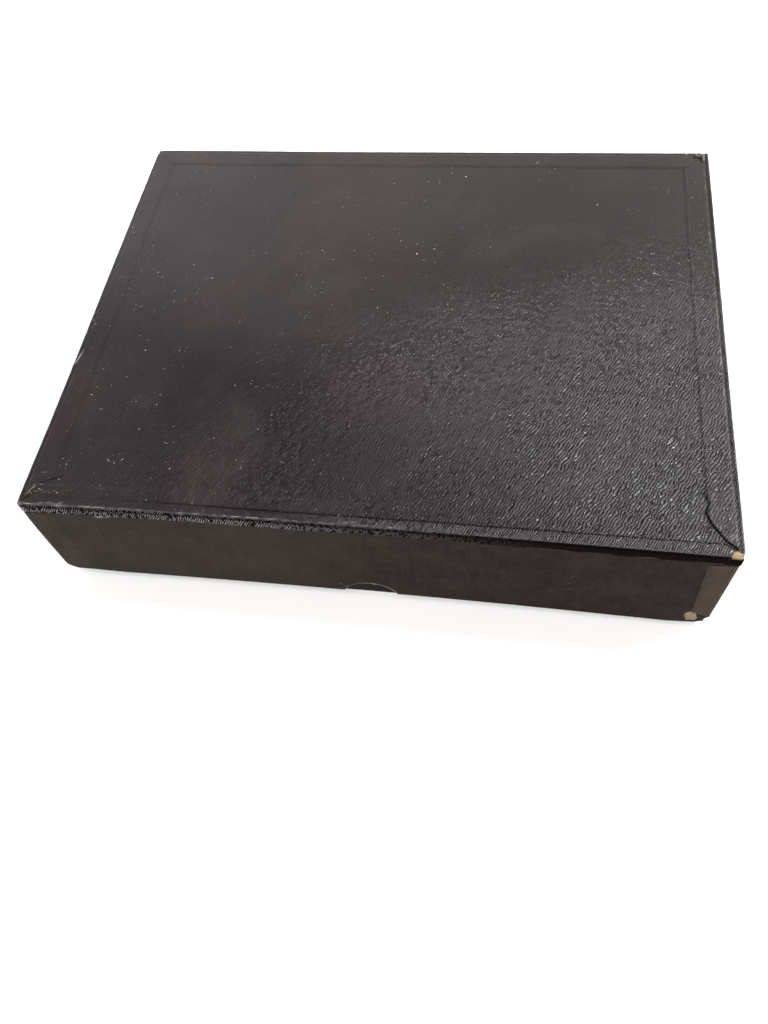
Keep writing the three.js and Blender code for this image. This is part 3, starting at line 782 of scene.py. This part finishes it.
    # painted shade: soft dark lines along the foot of the step, darkest on the right; a faint pale rub along the border
    soft = np.maximum(np.exp(-((ex - ein - 0.5) / 0.55) ** 2) * sy, np.exp(-((ey - ef - 0.5) / 0.55) ** 2) * sx)
    grime = np.maximum(grime, 0.05 * soft * (0.55 + 0.45 * vnoise(X / 11, Y / 11, 46)))
    right = sstep(60, 100, X)
    grime = np.maximum(grime, right * 0.66 * (1 - 0.42 * sstep(-10, 80, Y)) * np.exp(-((ex - ein - 0.35) / 0.52) ** 2) * sy * (0.74 + 0.26 * vnoise(X / 3, Y / 9, 56)))
    wear = np.maximum(wear, right * 0.085 * np.exp(-((ex - ein + 0.45) / 0.40) ** 2) * sy * (0.6 + 0.4 * vnoise(X / 3, Y / 5, 57)))
    ridge = np.maximum(np.exp(-((ex - ein + 0.45) / 0.5) ** 2) * sy, np.exp(-((ey - ef + 0.45) / 0.5) ** 2) * sx)
    wear = np.maximum(wear, 0.03 * ridge * sstep(-0.2, 0.6, vnoise(X / 7, Y / 7, 47)))
    # cut edges: a painted shadow under the front one, a thin rubbed line along them
    eF = Y - Y[:, :1]
    eL, eR, eB = X - X[:1, :], X[-1:, :] - X, Y[:, -1:] - Y
    rub = 0.10 * np.exp(-(eL / 0.3) ** 2) * sstep(-0.1, 0.6, vnoise(1, Y0 / 6, 48))
    rub = np.maximum(rub, 0.10 * np.exp(-(eB / 0.3) ** 2) * sstep(-0.1, 0.6, vnoise(X0 / 7, 1, 49)))
    chips = sstep(0.05, 0.45, vnoise(2, Y0 / 1.9, 50)) * sstep(-0.25, 0.35, vnoise(5, Y0 / 17, 53)) * sstep(-60, -20, Y0) * (1 - 0.7 * sstep(45, 75, Y0))
    rub = np.maximum(rub, 0.58 * (1 - 0.75 * sstep(10, 60, Y0)) * np.exp(-((eR - 0.12) / 0.2) ** 2) * (0.6 + 0.4 * vnoise(3, Y0 / 3, 55)))
    rub = np.maximum(rub, 0.85 * np.exp(-((eR - 0.25 - 0.2 * vnoise(4, Y0 / 1.3, 52)) / 0.28) ** 2) * chips)
    wear = np.maximum(wear, rub)
    grime = np.maximum(grime, 1.0 * np.exp(-(eF / 0.33) ** 2) * sstep(-105, -45, X) * (0.82 + 0.18 * vnoise(X / 4, 1, 54)))
    # a nick on the left edge
    d, s, t = line_dist(X, Y, NICK)
    wear = np.maximum(wear, 0.95 * np.exp(-(d / 0.22) ** 2))
    # edges turn down a touch where the knife pressed
    for e_ in (eF, eL, eR, eB):
        Z -= 0.05 * np.exp(-(e_ / 0.35) ** 2)
    Z -= 0.20 * np.exp(-(eF / 1.3) ** 2) * sstep(-45, -95, X)
    Zt = Z - 0.16 * cut_top
    P = np.stack([X, Y, Zt], -1)
    Q = np.stack([X, Y, Z - GRAIN], -1)
    return sheet_obj("lid_top_panel", P, Q, M_PANEL, "lid", ["lid_top_cover"], warp_lid, {"wear": wear, "grime": grime}, angle=60)


# =====================================================================================
# lid: edging strips
# =====================================================================================
def edging(side):
    along = HX if side in ("front", "back") else HY
    r = EDGE_R
    prof = [(0.0, z) for z in np.linspace(BAND_Z, EDG_TOP - r, 12)]
    prof += [(r - r * math.cos(a), EDG_TOP - r + r * math.sin(a)) for a in np.linspace(0, math.pi / 2, 10)[1:]]
    # the flange: under the panel most of the way
    fl = list(np.arange(r + 0.45, 5.2, 0.45)) + list(np.linspace(5.6, EDG_TOP_SIDE, 7))
    w_in = EDG_IN if side == "front" else EDG_TOP_SIDE
    fl = [min(f, w_in) if i == len(fl) - 1 else f for i, f in enumerate(fl) if f < w_in or i == len(fl) - 1]
    prof += [(d, EDG_TOP) for d in fl]
    prof = np.array(prof)
    n = len(prof)
    # outward normals of the profile
    tan = np.gradient(prof, axis=0)
    tan /= np.linalg.norm(tan, axis=1)[:, None]
    nor = np.stack([-tan[:, 1], tan[:, 0]], 1)             # (d, z): out is -d on the wall, +z on the top
    s0 = stations(-along, along, 0.35, 0.9, 9.0)
    S, K = np.meshgrid(s0, np.arange(n), indexing="ij")
    dd, zz = prof[K][..., 0], prof[K][..., 1]
    nd, nz = nor[K][..., 0], nor[K][..., 1]
    E = S * (along - dd - 0.15) / along
    low = sstep(BAND_Z + 1.6, BAND_Z, zz) * (dd < 0.5)
    flat = sstep(0.3, 0.9, dd)
    seed = {"front": 60, "back": 70, "left": 80, "right": 90}[side]
    # hand-cut lower edge
    wave = 0.22 * vnoise(E / 27, 0, seed) + 0.10 * vnoise(E / 6.1, 1, seed + 1) + 0.05 * vnoise(E / 1.7, 2, seed + 2)
    lift = 0.05 + 0.05 * vnoise(E / 9, 3, seed + 3)
    if side == "front":
        wave = wave + 1.25 * bump(E, -103.4, 2.3) - 0.75 * bump(E, -95.6, 2.8)
        lift = lift + 0.55 * bump(E, -98.5, 4.2) + 0.12 * bump(E, 62, 9) + 0.10 * bump(E, -20, 14)
    zz = zz + wave * low
    out = np.maximum(0.0, lift) * low
    # a slightly lumpy skin, standing proud only, so that it never sinks into the wall
    lump = 0.035 * (1 + vnoise(E / 3.2, K / 2.3, seed + 4)) + 0.025 * (1 + vnoise(E / 1.1, K / 1.3, seed + 5))
    out = out + lump * (1 - flat)
    d1 = dd + nd * out
    z1 = zz + nz * out
    d2 = d1 - nd * GRAIN
    z2 = z1 - nz * GRAIN
    wear = np.zeros_like(E)
    grime = np.zeros_like(E)
    tan_ = np.zeros_like(E)
    jig = 0.10 * vnoise(E / 1.5, 8, seed + 12)
    top_edge = np.exp(-((dd - 0.26 - jig) / 0.12) ** 2) * (zz > EDG_TOP - 0.8)
    if side == "front":
        on = sstep(30, -30, E) * 0.9 + 0.10
        wear = 0.68 * top_edge * on * (0.12 + 0.88 * sstep(-0.15, 0.35, vnoise(E / 1.7, 0, seed + 6))) * (0.55 + 0.45 * sstep(-0.4, 0.2, vnoise(E / 15, 5, seed + 15)))
        # short pale scuffs just above and below the edge, along the grain
        dash = sstep(0.25, 0.55, vnoise(E * 0.9 + zz * 0.8, dd * 1.1, seed + 13)) * sstep(-0.2, 0.4, vnoise(E / 19, 2, seed + 14))
        wear = np.maximum(wear, 0.42 * dash * (dd > 0.15) * (dd < 1.8) * sstep(40, -20, E))
        wear = np.maximum(wear, 0.20 * dash * (dd <= 0.15) * sstep(10, -60, E))
        # painted shade: a dark line on the band just under the rounded top edge
        grime = np.maximum(grime, 0.88 * np.exp(-((zz - EDG_TOP + 1.7) / 1.0) ** 2) * (dd < 0.2))
        wear = np.maximum(wear, 0.75 * np.exp(-(((E + 122.5) / 2.6) ** 2)) * top_edge)
        # the lifted bit of the lower edge catches the light
        wear = np.maximum(wear, 0.18 * bump(E, -98, 4.0) * sstep(BAND_Z + 0.7, BAND_Z, zz) * (dd < 0.3))
        wear = np.maximum(wear, 0.15 * sstep(BAND_Z + 0.5, BAND_Z, zz) * (dd < 0.3) * sstep(0.1, 0.5, vnoise(E / 5, 0, seed + 9)))
        d, s, t = line_dist(E, -HY + dd, FL_RIDGE)
        wear = np.maximum(wear, 0.85 * np.exp(-(d / 0.22) ** 2) * flat)
        wear = np.maximum(wear, 0.9 * np.exp(-(np.hypot(E + HX, dd) / 1.1) ** 2))
    else:
        wear = 0.40 * top_edge * sstep(-0.1, 0.5, vnoise(E / 4, 0, seed + 6))
        if side == "left":
            d, s, t = line_dist(-HX + dd, E, NICK)
            wear = np.maximum(wear, 0.95 * np.exp(-(d / 0.25) ** 2) * flat)
            wear = np.maximum(wear, 0.9 * np.exp(-(np.hypot(E + HY, dd) / 1.1) ** 2))
        if side == "right":
            # a darker strip on the flange, 1.2 to 1.9 mm in from its outer edge
            grime = np.maximum(grime, 0.62 * flat * sstep(1.9, 1.2, dd))
            wear = np.maximum(wear, 0.5 * top_edge * sstep(0.1, 0.4, vnoise(E / 2.0, 0, seed + 7)))
    # the cut ends are dirty
    end = along - dd - 0.15 - np.abs(E)
    grime = np.maximum(grime, 0.6 * np.exp(-(end / 0.35) ** 2))
    keep = np.ones((E.shape[0] - 1, n - 1), bool)
    Ec = (E[:-1, :-1] + E[1:, 1:]) / 2
    dc = (dd[:-1, :-1] + dd[1:, 1:]) / 2
    zc = (zz[:-1, :-1] + zz[1:, 1:]) / 2
    if side == "front":
        # worn through at the right-hand corner: the skin has gone and the board shows
        edge = 123.7 + 0.5 * vnoise(zc * 1.7, dc * 1.3, 66) + 0.45 * np.abs(zc - TOP + 1.0) + 0.6 * dc - 1.3
        keep &= ~((Ec > edge) & (zc > TOP - 3.0) & (dc < 2.5))
        ex, sx_ = E, 1
        near_hole = np.exp(-(np.maximum(0, (122.6 - E)) / 0.35) ** 2) * (zz > TOP - 3.0) * (dd < 2.5)
        wear = np.maximum(wear, 0.12 * near_hole)
    if side == "right":
        edge = -99.3 + 0.4 * vnoise(zc * 1.9, dc * 1.3, 67) - 0.5 * np.abs(zc - TOP + 1.0) - 0.8 * dc
        keep &= ~((Ec < edge) & (zc > TOP - 2.4) & (dc < 1.6))
    if side == "back":
        # pale nicks near the right-hand corner
        nk = bump(E, 117.9, 1.5) * (dd < 1.4) * (zz > EDG_TOP - 1.3)
        tan_ = np.maximum(tan_, 0.5 * nk)
    def place(d, z):
        if side == "front":
            return np.stack([E, -(HY - d), z], -1)
        if side == "back":
            return np.stack([E, HY - d, z], -1)
        if side == "left":
            return np.stack([-(HX - d), E, z], -1)
        return np.stack([HX - d, E, z], -1)
    # the strip's faces on the walls take the shaded copy of its material, M_BAND
    return sheet_obj(f"v_lid_{side}_edging", place(d1, z1), place(d2, z2), M_EDGING, "lid", [f"lid_{side}_edging"], warp_lid,
                     {"wear": wear, "grime": grime, "tan": tan_}, keep=keep, angle=50,
                     second=(M_BAND, lambda c: c[2] < EDG_TOP - 0.42 and max(abs(c[0]) - HX, abs(c[1]) - HY) > -0.4))


# =====================================================================================
# lid: front wall cover, folded round the thumb cut, torn at the right-hand end
# =====================================================================================
TEAR = [(120.4 + 0.86 * (a - 119.9), LID_Z - 3.0 + 8.1 + 0.86 * (b - 8.1)) for a, b in ((117.8, 10.2), (118.7, 11.5), (119.9, 12.0), (121.2, 11.8), (121.5, 9.4), (122.6, 6.2), (122.4, 4.5), (120.7, 4.9), (119.3, 4.3), (118.7, 6.1), (117.9, 8.0))]


def in_poly(x, y, poly):
    inside = np.zeros(np.shape(x), bool)
    n = len(poly)
    for i in range(n):
        x0, y0 = poly[i]
        x1, y1 = poly[(i + 1) % n]
        c = ((y0 > y) != (y1 > y)) & (x < (x1 - x0) * (y - y0) / (y1 - y0 + 1e-12) + x0)
        inside ^= c
    return inside


def front_cover():
    R = NOTCH_R - 0.25
    half = math.sqrt(R * R - (LID_Z - NOTCH_Z) ** 2)
    x1 = HX - 0.30 - 0.4
    xs = np.concatenate([
        np.arange(-x1, -112, 0.6), np.arange(-112, NOTCH_X - half - 3, 2.0),
        np.arange(NOTCH_X - half - 3, NOTCH_X + half + 3, 0.22),
        np.arange(NOTCH_X + half + 3, 114, 2.0), np.arange(114, x1, 0.28), [x1]])
    xs = np.unique(np.round(np.sort(xs), 4))
    inside = np.clip(R * R - (xs - NOTCH_X) ** 2, 0, None)
    arc = NOTCH_Z + np.sqrt(inside)
    ragged = 0.10 * vnoise(xs * 1.3, 0, 101) + 0.07 * vnoise(xs * 3.1, 1, 102)
    zl = np.where(arc > LID_Z, arc + ragged * sstep(LID_Z, LID_Z + 1.0, arc), LID_Z + 0.03 * vnoise(xs / 3, 5, 103))
    in_notch = sstep(LID_Z - 0.1, LID_Z + 0.4, np.where(arc > LID_Z, arc, LID_Z - 1))
    # rows of the outer leaf, from the top down, closer together near its lower edge
    t = np.concatenate([np.linspace(0, 0.80, 60), np.linspace(0.80, 1.0, 40)[1:]])
    zt = np.full_like(xs, COV_TOP) - 1.9 * sstep(122.8, 123.6, xs)
    rows_d, rows_z, q_d, q_z = [], [], [], []
    for k in t:
        z = zt + (zl + 0.35 - zt) * k
        rows_d.append(np.full_like(xs, 0.30)); rows_z.append(z)
        q_d.append(np.full_like(xs, 0.50)); q_z.append(z)
    def arcpt(cx, a0, a1, m):
        for a in np.linspace(a0, a1, m):
            rows_d.append(np.full_like(xs, cx + 0.35 * math.cos(a))); rows_z.append(zl + 0.35 + 0.35 * math.sin(a))
            q_d.append(np.full_like(xs, cx + 0.15 * math.cos(a))); q_z.append(zl + 0.35 + 0.15 * math.sin(a))
    arcpt(0.65, math.pi * 1.15, math.pi * 1.5, 4)
    rows_d.append(np.full_like(xs, 1.3)); rows_z.append(zl + 0.0)
    q_d.append(np.full_like(xs, 1.3)); q_z.append(zl + 0.2)
    arcpt(1.95, math.pi * 1.5, math.pi * 2.0, 4)
    zi = LID_Z + 12.0
    for k in np.linspace(0.15, 1.0, 8):
        z = zl + 0.35 + (zi - zl - 0.35) * k
        rows_d.append(np.full_like(xs, 2.30)); rows_z.append(z)
        q_d.append(np.full_like(xs, 2.10)); q_z.append(z)
    Dp, Zp = np.array(rows_d).T, np.array(rows_z).T
    Dq, Zq = np.array(q_d).T, np.array(q_z).T
    Xg = np.repeat(xs[:, None], Dp.shape[1], 1)
    nl = len(t)
    leaf = np.zeros_like(Dp)
    leaf[:, :nl] = 1
    dz = Zp - zl[:, None]
    # the paper's edge round the cut is flared and rubbed
    flare = 0.16 * in_notch[:, None] * np.exp(-(np.maximum(0, dz) / 0.55) ** 2) * leaf * (0.7 + 0.3 * vnoise(Xg * 0.9, 0, 104))
    # faint lumps over the board, standing out only
    lump = 0.02 * (1 + vnoise(Xg / 7, Zp / 6, 105)) * leaf * sstep(0.0, 2.0, dz) * sstep(BAND_Z - 0.2, BAND_Z - 2.0, Zp)
    room = 1 - sstep(114.5, 116.5, np.abs(Xg))             # not under the tabs
    Dp = Dp - flare - lump * room
    Dq = Dq - flare - lump * room
    # tear
    keep = np.ones((Xg.shape[0] - 1, Xg.shape[1] - 1), bool)
    Xc = (Xg[:-1, :-1] + Xg[1:, 1:]) / 2
    Zc = (Zp[:-1, :-1] + Zp[1:, 1:]) / 2
    hole = in_poly(Xc, Zc, TEAR)
    hole[:, nl - 1:] = False
    keep &= ~hole
    # snap the rim of the tear to its outline
    pad = np.pad(hole, 1)
    touch = pad[:-1, :-1] | pad[1:, :-1] | pad[:-1, 1:] | pad[1:, 1:]
    full = pad[:-1, :-1] & pad[1:, :-1] & pad[:-1, 1:] & pad[1:, 1:]
    rim = touch & ~full
    ring = TEAR + [TEAR[0]]
    for i, j in zip(*np.nonzero(rim)):
        p = np.array([Xg[i, j], Zp[i, j]])
        best, q = 1e9, p
        for a, b in zip(ring, ring[1:]):
            a, b = np.array(a), np.array(b)
            k = np.clip(np.dot(p - a, b - a) / np.dot(b - a, b - a), 0, 1)
            c = a + k * (b - a)
            if np.linalg.norm(p - c) < best:
                best, q = np.linalg.norm(p - c), c
        Xg[i, j], Zp[i, j], Zq[i, j] = q[0], q[1], q[1]
    dtear, _, _ = line_dist(Xg, Zp, ring)
    lift_t = 0.0 * dtear
    wear = 2.6 * in_notch[:, None] * np.exp(-(np.maximum(0, dz - 0.08) / 0.36) ** 2) * (0.32 + 0.68 * sstep(-7, 8, Xg)) * (0.80 + 0.20 * vnoise(Xg * 0.7, 3, 106))
    wear = np.maximum(wear, 0.8 * np.exp(-(dtear / 0.3) ** 2) * leaf)
    low = np.exp(-(np.maximum(0, dz) / 0.45) ** 2) * (1 - in_notch[:, None])
    wear = np.maximum(wear, 0.35 * low * sstep(-0.1, 0.5, vnoise(Xg / 4.5, 1, 107)))
    wear = np.maximum(wear, 0.5 * low * bump(Xg, 116, 6))
    # painted shade on the wall just under the edging's lower edge
    grime = 0.35 * sstep(BAND_Z - 1.6, BAND_Z - 0.2, Zp) * leaf
    P = np.stack([Xg, -(HY - Dp), Zp], -1)
    Q = np.stack([Xg, -(HY - Dq), Zq], -1)
    # a few loose fibres at the cut
    fib = []
    for pts, r in (
        ([(-8.2, 5.9), (-9.1, 6.9), (-10.4, 7.5), (-11.2, 8.6)], 0.055),
        ([(-7.6, 6.6), (-8.2, 7.6), (-8.0, 8.9)], 0.045),
        ([(-9.2, 4.7), (-10.2, 5.0), (-11.6, 4.6)], 0.05),
        ([(9.6, 6.2), (10.5, 6.7), (11.2, 6.5)], 0.045),
        ([(2.0, 9.9), (2.7, 9.5), (3.0, 8.9)], 0.04),
    ):
        q = [(a, -(HY - 0.16 + 0.10 * math.sin(i * 1.7)), b + LID_Z - 3.0) for i, (a, b) in enumerate(pts)]
        V, F = tube(q, r, r * 0.5)
        fib.append((V, F, {"wear": 0.9, "grime": 0.0}))
    return sheet_obj("v_lid_front_cover", P, Q, M_WALL, "lid", ["lid_front_cover"], warp_lid, {"wear": wear, "grime": grime}, keep=keep, extra=fib, angle=45)


# =====================================================================================
# end covers with their tabs, boards, tape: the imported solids, cut fine and aged
# =====================================================================================
def end_cover_fn(side):
    s = 1 if side == "right" else -1

    def fn(V):
        V = V.copy()
        x, y, z = V[:, 0], V[:, 1], V[:, 2]
        u = HX - np.abs(x)
        tab = (HY - np.abs(y) < 0.29) & (u > 0.4)
        # trimmed by eye: the edges of the tabs wander
        V[:, 0] += np.where(tab, 0.14 * vnoise(z / 3.3, np.sign(y) * 3 + s, 121) * sstep(3, 7, u), 0)
        V[:, 2] += np.where(tab, 0.12 * vnoise(x / 2.9, np.sign(y) * 5 + s, 122), 0)
        # pasted down, and rubbed thin towards the free edge
        outer = tab & (HY - np.abs(y) < 0.15)
        V[:, 1] -= np.where(outer, np.sign(y) * (0.165 if s < 0 else 0.12) * sstep(4.5, 10.0 if s < 0 else 8.5, u), 0)
        if side == "right":
            # cut back at the worn top corner
            near = (y < -98.6) & (z > TOP - 2.6)
            V[:, 2] = np.where(near, TOP - 2.6 - 0.3 * (COV_TOP - z), V[:, 2])
        return V

    def at(V):
        x, y, z = V[:, 0], V[:, 1], V[:, 2]
        u = HX - np.abs(x)
        tab = HY - np.abs(y) < 0.29
        wear = np.zeros(len(V))
        wear = np.maximum(wear, np.where(tab & (s > 0), 0.10 * sstep(7.5, 10.0, u) * (0.5 + 0.5 * vnoise(z / 3, 2, 124)), 0))
        wear = np.maximum(wear, 0.22 * sstep(1.3, 0.2, np.maximum(u, HY - np.abs(y))) * sstep(-0.1, 0.5, vnoise(z / 4, x / 60, 125)))
        wear = np.maximum(wear, 0.12 * sstep(LID_Z + 0.7, LID_Z, z) * sstep(0.0, 0.5, vnoise(y / 5, 4, 126)))
        grime = np.zeros(len(V))
        return {"wear": wear, "grime": grime}

    return fn, at


def top_board_fn(V):
    """the board bulges out through the worn corner, its plies opened"""
    V = V.copy()
    c = np.array([HX - 1.2, -HY + 1.2, TOP - 1.4])
    d = np.linalg.norm(V - c, axis=1)
    w = np.exp(-(d / 2.4) ** 2)
    out = (V[:, 0] > 122.0) & (V[:, 1] < -97.0)
    n = 1 + 0.35 * vnoise(V[:, 0] * 2.1, V[:, 2] * 3.0 + V[:, 1] * 2.0, 131)
    side_x = (V[:, 0] > HX - 0.9) & out
    side_y = (V[:, 1] < -HY + 0.9) & out
    V[:, 0] += np.where(side_x, 0.42 * w * n, 0)
    V[:, 1] -= np.where(side_y, 0.42 * w * n, 0)
    V[:, 2] += np.where(out & (V[:, 2] > TOP - 0.8), 0.30 * w * n, 0)
    return V


panel()
for s_ in ("front", "back", "left", "right"):
    edging(s_)
front_cover()
FINE = (0.35, 0.75, 1.15, 1.5, 2.3, 3.2, 4.2, 5.2, 6.2, 7.2, 8.2, 9.2, 10.2, 11.2)
clone("lid_back_cover", "lid", M_WALL, warp_lid)
for s_ in ("left", "right"):
    f_, a_ = end_cover_fn(s_)
    clone(f"lid_{s_}_cover", "lid", M_WALL_END, warp_lid, ends=FINE, zmid=1.2, fn=f_, attr_fn=a_)
clone("lid_top_board", "lid", M_BOARD, warp_lid, mid=9.0, ends=(0.35, 0.75, 1.1, 1.5, 1.9, 2.3, 2.8, 3.4, 4.2, 5.0), fn=top_board_fn, more={2: [TOP - 1.8, TOP - 1.5, TOP - 1.2, TOP - 0.9]})
for s_ in ("front", "back", "left", "right"):
    clone(f"lid_{s_}_board", "lid", M_BOARD, warp_lid)
    clone(f"lid_{s_}_lining", "lid", M_LINING, warp_lid)
    clone(f"base_{s_}_board", "base", M_BOARD, warp_base)
    clone(f"base_{s_}_cover", "base", M_BASE, warp_base)
    clone(f"base_{s_}_lining", "base", M_LINING, warp_base)
for c_ in ("fl", "fr", "bl", "br"):
    clone(f"lid_corner_stay_{c_}", "lid", M_TAPE, warp_lid, ends=FINE, zmid=3.0)
    clone(f"base_corner_stay_{c_}", "base", M_TAPE, warp_base, ends=FINE, zmid=3.0)
clone("lid_top_lining", "lid", M_LINING, warp_lid)
clone("base_bottom_board", "base", M_BOARD, warp_base)
clone("base_bottom_cover", "base", M_BASE, warp_base)
clone("base_floor_lining", "base", M_LINING, warp_base)


# =====================================================================================
# camera, floor, light
# =====================================================================================
cam = bpy.data.cameras.new("camera")
cam_ob = bpy.data.objects.new("camera", cam)
SC.collection.objects.link(cam_ob)
SC.camera = cam_ob
cam.sensor_fit = "AUTO"
cam.sensor_width = 36.0
cam.lens = 29.8566
cam.shift_x = 0.0254013
cam.shift_y = 0.0183691
cam.clip_start, cam.clip_end = 0.01, 50
right = Vector((0.9845878, 0.1441066, -0.0990967))
down = Vector((0.0744762, -0.8581540, -0.5079615))
fwd = Vector((-0.1582408, 0.4927524, -0.8556605))
m = Matrix((
    (right.x, -down.x, -fwd.x, 0.0473277),
    (right.y, -down.y, -fwd.y, -0.2468984),
    (right.z, -down.z, -fwd.z, 0.3041109 + (LID_Z - 3.0) / 1000.0),
    (0, 0, 0, 1)))
cam_ob.matrix_world = m

fl = bpy.data.meshes.new("floor")
fl.from_pydata([(-25, -25, -0.0002), (25, -25, -0.0002), (25, 25, -0.0002), (-25, 25, -0.0002)], [], [(0, 1, 2, 3)])
floor = bpy.data.objects.new("floor", fl)
SC.collection.objects.link(floor)
fm = bpy.data.materials.new("floor_paper")
fm.use_nodes = True
fb = fm.node_tree.nodes["Principled BSDF"]
fb.inputs["Base Color"].default_value = (0.90, 0.90, 0.90, 1)
fb.inputs["Roughness"].default_value = 0.9
fb.inputs["Specular IOR Level"].default_value = 0.1
fl.materials.append(fm)

w = bpy.data.worlds.new("world")
SC.world = w
w.use_nodes = True
nt = w.node_tree
tc = nt.nodes.new("ShaderNodeTexCoord")
sx = nt.nodes.new("ShaderNodeSeparateXYZ")
cr = nt.nodes.new("ShaderNodeValToRGB")
nt.links.new(tc.outputs["Generated"], sx.inputs[0])
nt.links.new(sx.outputs["Z"], cr.inputs[0])
nt.links.new(cr.outputs[0], nt.nodes["Background"].inputs[0])
# a bright horizon, darker overhead
stops = ((0.0, 1.0), (0.45, 1.0), (0.58, 1.0), (0.65, 0.78), (0.70, 0.50), (0.76, 0.20), (0.87, 0.10), (1.0, 0.09))
while len(cr.color_ramp.elements) < len(stops):
    cr.color_ramp.elements.new(0.5)
for el, (pos, v) in zip(cr.color_ramp.elements, stops):
    el.position = pos
    el.color = (v, v * 0.99, v * 0.985, 1)
nt.nodes["Background"].inputs[1].default_value = 1.32


def area(name, loc, target, size, power, color=(1, 1, 1), size_y=None):
    ld = bpy.data.lights.new(name, "AREA")
    ld.energy = power
    ld.color = color
    ld.shape = "RECTANGLE" if size_y else "SQUARE"
    ld.size = size
    if size_y:
        ld.size_y = size_y
    lo = bpy.data.objects.new(name, ld)
    SC.collection.objects.link(lo)
    lo.location = loc
    lo.rotation_mode = "QUATERNION"
    lo.rotation_quaternion = (Vector(target) - Vector(loc)).to_track_quat("-Z", "Y")
    return lo


# a window high on the right, and a soft fill from above the camera
area("window", (0.74, 0.26, 1.14), (0.06, -0.03, 0.05), 0.23, 14.0, (0.97, 0.985, 1.0))
sd_ = bpy.data.lights.new("fill", "SUN")
sd_.energy = 2.5
sd_.angle = math.radians(70)
sd_.color = (1.0, 0.99, 0.98)
so_ = bpy.data.objects.new("fill", sd_)
so_.rotation_euler = (-Vector((-0.30, -1.10, 1.70))).to_track_quat("-Z", "Y").to_euler()
SC.collection.objects.link(so_)

SC.view_settings.view_transform = "Standard"
SC.view_settings.look = "None"
SC.view_settings.exposure = 0.0
SC.view_settings.gamma = 1.0
